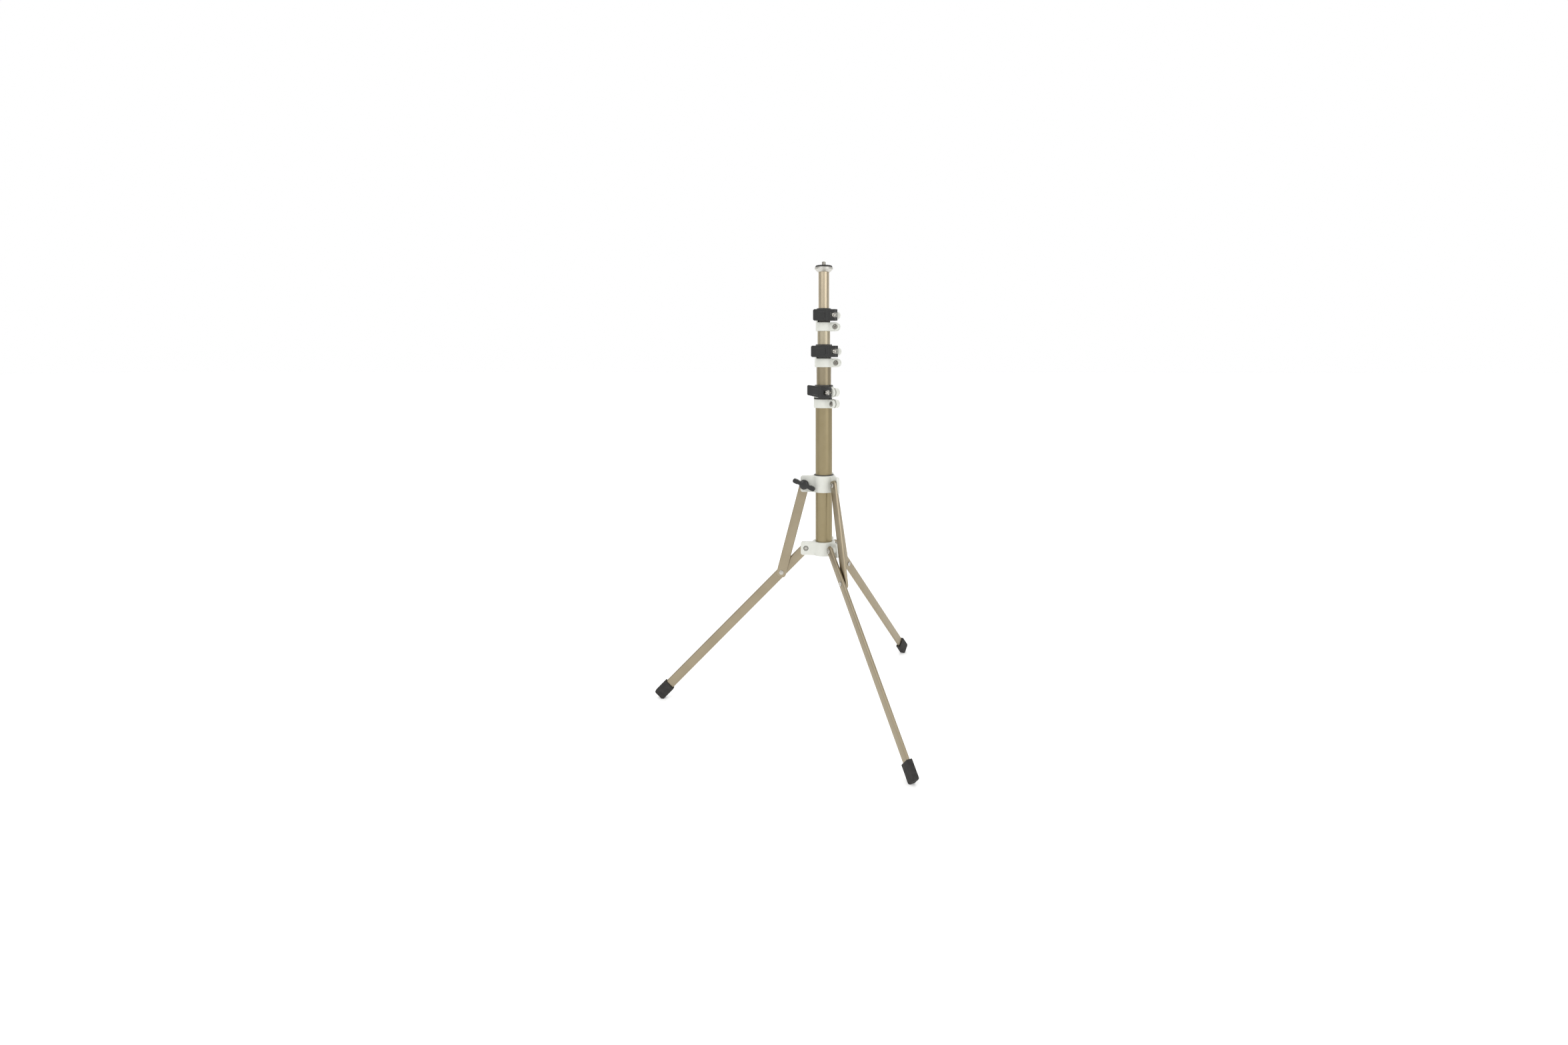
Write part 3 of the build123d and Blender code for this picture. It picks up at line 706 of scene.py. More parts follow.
@dataclass(frozen=True)
class Finish:
    """A material together with the record's slot that it belongs to."""

    material: bpy.types.Material
    slot: Slot


class Finishes:
    """Every finish of the stand, each made once."""

    def __init__(self) -> None:
        """Make the materials."""
        tones = {"main_tube": ("#968A6D", "#908466"), "section_2_tube": ("#968B75", "#90866F"),
                 "section_3_tube": ("#B2A993", "#ACA38D"), "section_4_tube": ("#BBAE97", "#B5A891")}
        self.tubes = {}
        for node, pair in tones.items():
            drawn = AnodisedAluminium(*pair).material(f"anodised_aluminium_{node}")
            self.tubes[node] = Finish(drawn, Slot.CHAMPAGNE)
        white = MouldedPlastic("moulded_abs_white", "#D0D1CA", "#CACBC3", 0.40)
        black = MouldedPlastic("moulded_nylon_black", "#0F100F", "#151615", 0.28, grain_depth=0.005)
        nylon = MouldedPlastic("moulded_acetal_grey", "#333230", "#3B3A37", 0.50)
        self.white = Finish(white.material(), Slot.WHITE)
        self.black = Finish(black.material(), Slot.BLACK)
        self.nylon = Finish(nylon.material(), Slot.NYLON)
        self.rubber = Finish(MouldedRubber().material(), Slot.RUBBER)
        self.plain = Finish(TurnedMetal().material(), Slot.PLAIN)
        self.nickel = Finish(PlatedMetal("nickel_plated_steel", "#B5B2AB", 0.22).material(), Slot.STEEL)
        # painted shade: the ring screws get a darker copy of the nickel plating, standing in for the shade in
        # their deep recesses
        self.screw = Finish(PlatedMetal("nickel_steel_recess_shade_painted", "#8D8A84", 0.28).material(), Slot.STEEL)
        self.zinc = Finish(PlatedMetal("zinc_plated_steel", "#A9A7A1", 0.36).material(), Slot.STEEL)
        self.brass = Finish(PlatedMetal("turned_brass", "#C8A560", 0.30).material(), Slot.BRASS)

    @staticmethod
    def along(name: str, place: Matrix) -> Finish:
        """Anodised aluminium with its lines along a piece's own length.

        Args:
            name: The material's name.
            place: The piece's frame, with its length along Z.

        Returns:
            The finish.
        """
        lengthwise = AnodisedAluminium("#9C917C", "#968B76")
        return Finish(lengthwise.material(name, place.to_3x3().inverted()), Slot.CHAMPAGNE)


def finish_piece(piece: Piece, name: str, place: Matrix, finish: Finish, body: str,
                 nodes: Sequence[str] = ()) -> None:
    """Bring a piece from its own millimetres to its place, and dress it.

    Args:
        piece: The modelled object.
        name: Its final name.
        place: Its frame in the stand, in millimetres.
        finish: Its finish; the piece is given the finish's material.
        body: The CAD body that carries it.
        nodes: CAD nodes that it stands for.
    """
    turn_to(piece, Matrix.Scale(MM, 4) @ place)
    piece.name = name
    piece.data.name = name
    piece.data.materials.clear()
    piece.data.materials.append(finish.material)
    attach(piece, body)
    if nodes:
        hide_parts(*nodes)
    LOG.info("%s: %d faces", name, len(piece.data.polygons))


def dress_node(node: str, finish: Finish) -> None:
    """Give a CAD node that stays in view its material.

    Args:
        node: The node's name.
        finish: Its finish.
    """
    piece = frame["nodes"][node]
    if not piece.material_slots:
        piece.data.materials.append(finish.material)
    for holder in piece.material_slots:
        holder.material = finish.material


# ---------------------------------------------------------------- fasteners
@dataclass
class Fastener:
    """A screw or a rivet: the sizes of its head, its shank and its recess."""

    head_radius: float
    head_height: float
    shank_radius: float
    shank_length: float
    recess_reach: float = 2.0
    recess_width: float = 0.9
    recess_depth: float = 1.5
    recess_point: float = 0.35      # half length of the recess at its floor
    crown_share: float = 0.55       # part of the head's height that is domed
    edge_step: float = 0.2
    tip_chamfer: float = 0.4
    dimple_share: float = 0.35      # the rivet's dimple, by the head's radius

    def domed_outline(self) -> list[Point]:
        """Outline of a screw whose head stands on z = 0, with its shank below.

        Returns:
            Radius and height of each point.
        """
        crown = self.head_height * self.crown_share
        edge = self.head_height - crown
        dome = [(self.head_radius * math.cos(math.radians(a)), edge + crown * math.sin(math.radians(a)))
                for a in range(0, 90, 10)]
        tip = self.tip_chamfer
        foot = [(0.0, -self.shank_length), (self.shank_radius - tip, -self.shank_length),
                (self.shank_radius, tip - self.shank_length), (self.shank_radius, 0.0)]
        step = self.edge_step
        edge_points = [(self.head_radius - step, 0.0), (self.head_radius, step)]
        return foot + edge_points + dome + [(0.0, self.head_height)]

    def cross_screw(self) -> Piece:
        """Screw with a cross recess; its head stands on z = 0 and its shank points down.

        Returns:
            The screw.
        """
        piece = turned(self.domed_outline(), SMALL_STEPS)
        floor = self.head_height - self.recess_depth
        over = self.head_height + 1
        spread = self.recess_reach * (over - floor) / self.recess_depth
        point = self.recess_point
        blade = [(-point, floor), (point, floor), (spread, over), (-spread, over)]
        for turn in (0.0, math.pi / 2):
            cutter = upright(blade, -self.recess_width / 2, self.recess_width / 2)
            combine(piece, turn_to(cutter, Matrix.Rotation(turn, 4, "Z")), Operation.CUT)
        return smooth(piece)

    def rivet(self) -> Piece:
        """Rivet with a low dome and a small dimple; its head stands on z = 0.

        Returns:
            The rivet.
        """
        outline = self.domed_outline()[:-1]
        dimple = self.head_radius * self.dimple_share
        rise = self.head_height
        crown = [(dimple, rise), (dimple * 0.6, rise - 0.3), (0.0, rise - 0.35)]
        kept = [point for point in outline if point[0] > dimple or point[1] < 0]
        return smooth(turned(kept + crown, SMALL_STEPS))


def hexagon_nut(flats: float, bore: float, height: float) -> Piece:
    """Hexagon nut on z = 0 with its corners turned off on both sides.

    Args:
        flats: Size across the flats.
        bore: Radius of the hole.
        height: Thickness.

    Returns:
        The nut.
    """
    corner = flats / math.sqrt(3)
    angles = [math.tau * k / 6 for k in range(6)]
    piece = prism([(corner * math.cos(a), corner * math.sin(a)) for a in angles], 0.0, height)
    drop = (corner - flats / 2) * 0.9
    barrel = [(0.0, 0.0), (flats / 2, 0.0), (corner, drop), (corner, height - drop),
              (flats / 2, height), (0.0, height)]
    combine(piece, turned(barrel, SMALL_STEPS), Operation.KEEP_COMMON)
    lead = 0.4
    wide = bore + lead + 1.0
    hole = [(0.0, -1.0), (wide, -1.0), (bore, lead), (bore, height - lead), (wide, height + 1.0),
            (0.0, height + 1.0)]
    combine(piece, turned(hole, SMALL_STEPS), Operation.CUT)
    return smooth(piece, 25)


# ---------------------------------------------------------------- pole
@dataclass
class PoleTubes:
    """The four drawn tubes of the pole."""

    wall: float = 1.0
    rim: float = 0.25

    def build(self, finishes: Finishes) -> None:
        """Make each tube as long as its node.

        Args:
            finishes: Every finish of the stand.
        """
        for node, body in (("main_tube", "root"), ("section_2_tube", "section_2"),
                           ("section_3_tube", "section_3"), ("section_4_tube", "section_4")):
            low, high = heights(node)
            corner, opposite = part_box(node)
            outer = (opposite.x - corner.x) / MM / 2
            inner = outer - self.wall
            outline = [(outer, low + self.rim), (outer, high - self.rim), (outer - self.rim, high),
                       (inner + self.rim, high), (inner, high - self.rim), (inner, low + self.rim),
                       (inner + self.rim, low), (outer - self.rim, low), (outer, low + self.rim)]
            finish_piece(smooth(turned(outline)), f"{node}_drawn", pole_place(), finishes.tubes[node],
                         body, [node])


@dataclass
class PoleTop:
    """Round plate, rubber pad and threaded stud on the top tube."""

    plate_radius: float = 13.7
    seat_radius: float = 9.4
    socket_radius: float = 8.02
    shank_radius: float = 4.0
    cone_height: float = 4.0
    rim_height: float = 3.0
    socket_depth: float = 3.0
    pad_radius: float = 12.8
    pad_height: float = 2.8
    stud_radius: float = 3.175
    stud_rise: float = 6.0
    thread_pitch: float = 1.27
    thread_depth: float = 0.55
    body: str = "section_4"

    def plate(self) -> Piece:
        """Turned plate: a cone, a rim with two fine grooves and a flat seat for the pad.

        Returns:
            The plate.
        """
        rim = self.cone_height
        top = rim + self.rim_height
        edge = 0.5
        groove = 0.25
        outline = [(self.socket_radius, 0.0), (self.seat_radius, 0.0), (self.seat_radius + 0.3, 0.15),
                   (self.plate_radius - edge, rim - 0.2), (self.plate_radius, rim + 0.3)]
        for height in (rim + 0.9, rim + 1.9):
            outline += [(self.plate_radius, height), (self.plate_radius - groove, height + groove / 2),
                        (self.plate_radius, height + groove)]
        outline += [(self.plate_radius, top - edge), (self.plate_radius - edge * 0.3, top - edge * 0.3),
                    (self.plate_radius - edge, top), (self.shank_radius, top),
                    (self.shank_radius, self.socket_depth), (self.socket_radius, self.socket_depth),
                    (self.socket_radius, 0.0)]
        return smooth(turned(outline), 28)

    def pad(self) -> Piece:
        """Rubber pad with a rounded shoulder and three shallow rings on its face.

        Returns:
            The pad.
        """
        bore = self.stud_radius + 0.1
        shoulder = arc((self.pad_radius - 2.0, self.pad_height - 2.0), 2.0, 0, 90, 8)
        outline = [(bore, 0.0), (self.pad_radius, 0.0)] + shoulder
        ring_width = 0.9
        for radius in (9.2, 7.2, 5.2):
            outline += [(radius, self.pad_height), (radius - ring_width * 0.25, self.pad_height - 0.35),
                        (radius - ring_width * 0.75, self.pad_height - 0.35),
                        (radius - ring_width, self.pad_height)]
        outline += [(bore + 0.3, self.pad_height), (bore, self.pad_height - 0.3), (bore, 0.0)]
        return smooth(turned(outline), 40)

    def stud(self, low: float) -> Piece:
        """Stud with a real helical thread above the plate.

        Args:
            low: Its lower end, below the plate's top.

        Returns:
            The stud.
        """
        root = self.stud_radius - self.thread_depth
        high = self.pad_height + self.stud_rise
        outline = [(0.0, low), (self.shank_radius, low), (self.shank_radius, 0.0), (root, 0.0),
                   (root, high - 0.5), (root - 0.5, high), (0.0, high)]
        core = turned(outline, SMALL_STEPS)
        pitch = self.thread_pitch
        inside = root - 0.2
        tooth = [(inside, 0.05), (self.stud_radius, 0.44), (self.stud_radius, 0.56), (inside, 0.95)]
        ridge = line_of_vertices([Vector((radius, 0, share * pitch)) for radius, share in tooth])
        bpy.ops.mesh.select_all(action="SELECT")
        bpy.ops.mesh.edge_face_add()
        bpy.ops.mesh.delete(type="ONLY_FACE")
        bpy.ops.object.mode_set(mode="OBJECT")
        turns = int((high - 0.6) / pitch)
        apply_modifier(ridge, "SCREW", angle=math.tau, screw_offset=pitch, iterations=turns,
                       steps=SMALL_STEPS, render_steps=SMALL_STEPS, use_merge_vertices=False)
        bpy.ops.object.mode_set(mode="EDIT")
        bpy.ops.mesh.select_mode(type="EDGE")
        bpy.ops.mesh.select_all(action="DESELECT")
        bpy.ops.mesh.select_non_manifold()
        bpy.ops.mesh.edge_face_add()
        bpy.ops.mesh.fill_holes(sides=8)
        close_up(ridge)
        return smooth(combine(core, ridge, Operation.ADD), 30)

    def build(self, finishes: Finishes) -> None:
        """Make the plate, the pad and the stud.

        Args:
            finishes: Every finish of the stand.
        """
        plate_low = heights("top_plate")[0]
        pad_low = heights("plate_pad")[0]
        stud_low = heights("camera_stud")[0]
        finish_piece(self.plate(), "top_plate_turned", pole_place(plate_low), finishes.plain, self.body,
                     ["top_plate"])
        finish_piece(self.pad(), "plate_pad_ringed", pole_place(pad_low), finishes.rubber, self.body,
                     ["plate_pad"])
        finish_piece(self.stud(stud_low - pad_low), "camera_stud_threaded", pole_place(pad_low),
                     finishes.nickel, self.body, ["camera_stud"])


# ---------------------------------------------------------------- lever clamps
@dataclass
class LeverClamp:
    """One clamp: white body, dark bushing, black cam lever, cam bolt, ring screw and nuts."""

    name: str
    azimuth: float
    tube_radius: float
    inner_radius: float
    body: str
    lever_body: str
    tip_rise: tuple[float, float]
    lever_length: float
    wall: float = 2.7
    ring_height: float = 13.0
    ring_gap: float = 2.5
    upper_height: float = 16.0
    ear_thickness: float = 4.0
    nut_ear_thickness: float = 6.5
    ear_gap: float = 2.4
    ear_radius: float = 6.5
    ear_offset: float = 5.6
    web_half_angle: float = 50.0
    flange_wall: float = 1.4
    flange_height: float = 2.8
    stop_gap: float = 0.08          # left over the flange, where the piece above stops on it
    bolt_radius: float = 2.0
    hole_gap: float = 0.1
    head_radius: float = 3.2
    bolt_head_height: float = 2.5
    screw_head_height: float = 1.8
    bolt_turn: float = 0.5          # of the cross, in radians
    screw_turn: float = 0.9
    screw_seat_radius: float = 4.1
    screw_seat_depth: float = 2.1
    nut_seat: float = 4.5
    nut_seat_radius: float = 4.5
    nut_height: float = 3.0
    bolt_tip: float = 0.2
    pin_offset: float = 11.2
    knuckle_radius: float = 5.2
    cam_throw: float = 0.5
    barrel_radius: float = 3.0
    lever_height: float = 17.0
    lever_thickness: float = 4.4
    lever_gap: float = 1.0
    slot_height: float = 7.0
    slot_radius: float = 6.0
    panel_margin: float = 3.6
    panel_corner: float = 1.5
    panel_floor: float = 0.55       # from the grip's middle line

    @property
    def ring_radius(self) -> float:
        """Outer radius of the rings."""
        return self.tube_radius + self.wall

    @property
    def bolt_x(self) -> float:
        """Distance of the bolts from the pole's axis."""
        return self.ring_radius + self.ear_offset

    @property
    def ear_face(self) -> float:
        """Distance of an ear's outer face from the slit's middle."""
        return self.ear_gap / 2 + self.ear_thickness

    @property
    def nut_face(self) -> float:
        """Distance of the nut ear's outer face from the slit's middle."""
        return self.ear_gap / 2 + self.nut_ear_thickness

    @property
    def top(self) -> float:
        """Height of the body."""
        return self.ring_height + self.ring_gap + self.upper_height

    @property
    def bolt_height(self) -> float:
        """Height of the cam bolt."""
        return self.top - self.upper_height / 2

    def place(self) -> Matrix:
        """The clamp's frame: underside at z = 0, ears along X."""
        return pole_place(heights(f"{self.name}_clamp_body")[0], self.azimuth)

    def band(self, low: float, high: float) -> Piece:
        """One ring with its pair of ears, before it is bored and slit.

        Args:
            low: Lower height.
            high: Upper height.

        Returns:
            The ring with its ears.
        """
        ring = round_bar(self.ring_radius, low, high, ROUND_STEPS)
        middle = (low + high) / 2
        outline = [(0.0, middle - self.ear_radius)]
        outline += arc((self.bolt_x, middle), self.ear_radius, -90, 90, 24)
        outline += [(0.0, middle + self.ear_radius)]
        return combine(ring, upright(outline, -self.ear_face, self.nut_face), Operation.ADD)

    def clamp_body(self) -> Piece:
        """White body with two rings, ears, recesses for the ring screw and a web at the back.

        Returns:
            The body.
        """
        piece = self.band(0.0, self.ring_height)
        combine(piece, self.band(self.top - self.upper_height, self.top), Operation.ADD)
        web = arc((0, 0), self.ring_radius - 0.01, 180 - self.web_half_angle, 180 + self.web_half_angle, 24)
        combine(piece, prism(web, self.ring_height - 1, self.ring_height + self.ring_gap + 1), Operation.ADD)
        combine(piece, round_bar(self.tube_radius, -1, self.top + 1, ROUND_STEPS), Operation.CUT)
        reach = self.bolt_x + self.ear_radius + 1
        slit = block((0, -self.ear_gap / 2, -1), (reach, self.ear_gap / 2, self.top + 1))
        combine(piece, slit, Operation.CUT)
        for height in (self.ring_height / 2, self.bolt_height):
            for radius, low in ((self.bolt_radius + self.hole_gap, -self.ear_face - 1),
                                (self.nut_seat_radius, self.nut_seat)):
                bar = round_bar(radius, low, self.nut_face + 1)
                combine(piece, along_y(bar, self.bolt_x, height), Operation.CUT)
        seat = round_bar(self.screw_seat_radius, -self.ear_face - 1, self.screw_seat_depth - self.ear_face)
        combine(piece, along_y(seat, self.bolt_x, self.ring_height / 2), Operation.CUT)
        return smooth(moulded(piece, 0.4, 5), MOULDED_ANGLE)

    def bushing(self) -> Piece:
        """Dark split bushing with a rounded flange over the body.

        Returns:
            The bushing.
        """
        bore = self.inner_radius + 0.05
        rim = self.tube_radius + self.flange_wall
        lip = self.top + self.flange_height - self.stop_gap
        outline = [(bore, self.ring_height), (self.tube_radius, self.ring_height),
                   (self.tube_radius, self.top), (rim - 0.2, self.top), (rim, self.top + 0.3)]
        outline += arc((rim - 1.1, lip - 1.1), 1.1, 0, 90, 6)
        outline += [(bore + 0.4, lip), (bore, lip - 0.4), (bore, self.ring_height)]
        piece = turned(outline)
        slit = block((0, -self.ear_gap / 2, self.ring_height - 1), (2 * rim, self.ear_gap / 2, lip + 1))
        return smooth(combine(piece, slit, Operation.CUT), 40)

    def heading(self) -> float:
        """Direction of the closed lever, tangent to its ring, in degrees.

        Returns:
            The direction.
        """
        line = self.ring_radius + self.lever_gap + self.lever_thickness / 2
        to_pin = math.degrees(math.atan2(-self.pin_offset, self.bolt_x))
        return to_pin - math.degrees(math.acos(line / math.hypot(self.bolt_x, self.pin_offset))) - 90

    def lever(self) -> Piece:
        """Black cam lever: a fork round the barrel, a step and a flat grip with rounded corners.

        Returns:
            The lever, with its barrel's axis on Z.
        """
        half = self.lever_thickness / 2
        tall = self.lever_height / 2
        throw = math.radians(-90 - self.heading())
        centre = (-self.cam_throw * math.cos(throw), -self.cam_throw * math.sin(throw))
        low_rise, high_rise = self.tip_rise
        reach = tall + max(high_rise, 0) + 1
        step_x = self.knuckle_radius + 4.6
        end = self.lever_length
        plan = rounded([(0, -half, 0), (end - 6, -half, 4), (end, 1.4 - half, 1.2), (end, 4.4 - half, 1.2),
                        (end - 9, half + 0.7, 5), (step_x + 1.0, half + 1.5, 0.8),
                        (step_x, half + 0.5, 0.8), (0, self.knuckle_radius - 0.7, 0)], 5)
        piece = prism(plan, -reach, reach)
        knuckle = turn_to(round_bar(self.knuckle_radius, -reach, reach), Matrix.Translation((*centre, 0)))
        combine(piece, knuckle, Operation.ADD)
        root = self.knuckle_radius + 3
        back = -2 * self.knuckle_radius
        side = rounded([(back, -tall, 2.0), (root, -tall, 8), (end, low_rise - tall, 2.4),
                        (end, high_rise + tall, 2.4), (root, tall, 8), (back, tall, 2.0)], 6)
        combine(piece, upright(side, -20, 20), Operation.KEEP_COMMON)
        combine(piece, round_bar(self.barrel_radius + 0.05, -2 * tall, 2 * tall), Operation.CUT)
        slot = round_bar(self.slot_radius, -self.slot_height / 2, self.slot_height / 2)
        combine(piece, slot, Operation.CUT)
        panel_start = step_x + 3.4
        panel_end = end - 3.2
        low, high, corner = self.panel_margin - tall, tall - self.panel_margin, self.panel_corner
        panel = rounded([(panel_start, low, corner), (panel_end, low + low_rise * 0.8, corner),
                         (panel_end, high + high_rise * 0.8, corner), (panel_start, high, corner)], 5)
        hollow = turn_to(upright(panel, 0, 8), Matrix.Translation((0, half + self.panel_floor, 0)))
        combine(piece, hollow, Operation.CUT)
        return smooth(moulded(piece, 0.32, 3), MOULDED_ANGLE)

    def build(self, finishes: Finishes) -> None:
        """Make every piece of the clamp.

        Args:
            finishes: Every finish of the stand.
        """
        place = self.place()
        white, black, nylon = finishes.white, finishes.black, finishes.nylon
        name = self.name
        finish_piece(self.clamp_body(), f"{name}_clamp_body_moulded", place, white, self.body,
                     [f"{name}_clamp_body"])
        finish_piece(self.bushing(), f"{name}_clamp_bushing_split", place, nylon, self.body,
                     [f"{name}_clamp_bushing"])
        pin = Matrix.Translation((self.bolt_x, -self.pin_offset, self.bolt_height))
        turn = Matrix.Rotation(math.radians(self.heading()), 4, "Z")
        finish_piece(self.lever(), f"{name}_lever_moulded", place @ pin @ turn, black, self.lever_body,
                     [f"{name}_lever"])
        bolt_seat = -self.pin_offset - self.barrel_radius / 2
        tip = self.nut_seat + self.nut_height + self.bolt_tip
        bolt = Fastener(self.head_radius, self.bolt_head_height, self.bolt_radius, tip - bolt_seat,
                        recess_reach=1.9, recess_depth=1.7).cross_screw()
        spot = place @ Matrix.Translation((self.bolt_x, bolt_seat, self.bolt_height)) @ TO_MINUS_Y
        finish_piece(bolt, f"{name}_cam_bolt_cross", spot @ Matrix.Rotation(self.bolt_turn, 4, "Z"),
                     finishes.nickel, self.body, [f"{name}_cam_bolt"])
        screw_seat = self.screw_seat_depth - self.ear_face
        screw = Fastener(self.head_radius, self.screw_head_height, self.bolt_radius,
                         tip - screw_seat).cross_screw()
        spot = place @ Matrix.Translation((self.bolt_x, screw_seat, self.ring_height / 2)) @ TO_MINUS_Y
        # the ring screw takes the darker nickel finish, painted shade for its deep recess
        finish_piece(screw, f"{name}_ring_screw_cross", spot @ Matrix.Rotation(self.screw_turn, 4, "Z"),
                     finishes.screw, self.body, [f"{name}_ring_screw"])
        nut = hexagon_nut(7.0, self.bolt_radius + 0.02, self.nut_height)
        turn_to(nut, TO_PLUS_Y)
        second = copy_of(nut)
        for label, blank, height, nodes in (("ring", nut, self.ring_height / 2, [f"{name}_clamp_nuts"]),
                                            ("cam", second, self.bolt_height, [])):
            spot = place @ Matrix.Translation((self.bolt_x, self.nut_seat, height))
            finish_piece(blank, f"{name}_{label}_nut_hexagon", spot, finishes.zinc, self.body, nodes)
        dress_node(f"{name}_cam_barrel", finishes.zinc)


# ---------------------------------------------------------------- hub and collar
@dataclass
class LuggedRing:
    """White moulded ring with three lugs: the leg hub or the spreader collar."""

    name: str
    node: str
    body: str
    joints: tuple[str, str, str]
    height: float
    lug_tip: float
    pivot_radius: float
    bore: float
    radius: float = 17.0
    lug_root: float = 4.0
    lug_corner: float = 3.2
    boss_radius: float = 0.0
    pocket_numbers: tuple[int, ...] = (0, 1, 2)
    lug_low: float = 4.45
    lug_high: float = 8.95
    blend: float = 8.0
    pocket_radius: float = 3.8
    pocket_depth: float = 2.8
    hole_radius: float = 2.05

    def lug(self) -> Piece:
        """One lug along X with its wide blend into the ring.

        Returns:
            The lug.
        """
        tall = self.height / 2
        root, tip, corner = self.lug_root, self.lug_tip, self.lug_corner
        side = rounded([(root, -tall, 0), (tip, -tall, corner), (tip, tall, corner), (root, tall, 0)], 8)
        piece = upright(side, self.lug_low, self.lug_high)
        centre_y = self.lug_high + self.blend
        reach = self.radius + self.blend
        centre_x = math.sqrt(reach**2 - centre_y**2)
        end = 180 + math.degrees(math.atan2(centre_y, centre_x))
        wedge = [(6.0, self.lug_high - 1), (centre_x, self.lug_high - 1)]
        wedge += arc((centre_x, centre_y), self.blend, 270, end, 12) + [(6.0, self.lug_high + 2)]
        return combine(piece, prism(wedge, -tall, tall), Operation.ADD)

    def ring(self) -> Piece:
        """The whole moulding, with bores, pockets and bosses.

        Returns:
            The ring, with its middle at z = 0.
        """
        tall = self.height / 2
        piece = round_bar(self.radius, -tall, tall, ROUND_STEPS)
        first = self.lug()
        turns = [math.radians(pivot_azimuth(name)) for name in self.joints]
        for turn in turns:
            combine(piece, turn_to(copy_of(first), Matrix.Rotation(turn, 4, "Z")), Operation.ADD)
        bpy.data.objects.remove(first)
        for number, turn in enumerate(turns):
            about = Matrix.Rotation(turn, 4, "Z")
            if self.boss_radius:
                boss = along_y(round_bar(self.boss_radius, 0.15, self.lug_low + 0.5), self.pivot_radius)
                combine(piece, turn_to(boss, about), Operation.ADD)
            hole = along_y(round_bar(self.hole_radius, -1, self.lug_high + 1), self.pivot_radius)
            combine(piece, turn_to(hole, about), Operation.CUT)
            if number in self.pocket_numbers:
                floor = self.lug_high - self.pocket_depth
                pocket = round_bar(self.pocket_radius, floor, self.lug_high + 1)
                combine(piece, turn_to(along_y(pocket, self.pivot_radius), about), Operation.CUT)
        combine(piece, round_bar(self.bore, -tall - 1, tall + 1, ROUND_STEPS), Operation.CUT)
        return smooth(moulded(piece, 0.42, 6), MOULDED_ANGLE)

    def build(self, finishes: Finishes, height: float) -> None:
        """Make the ring at a height."""
        finish_piece(self.ring(), self.name, pole_place(height), finishes.white, self.body, [self.node])


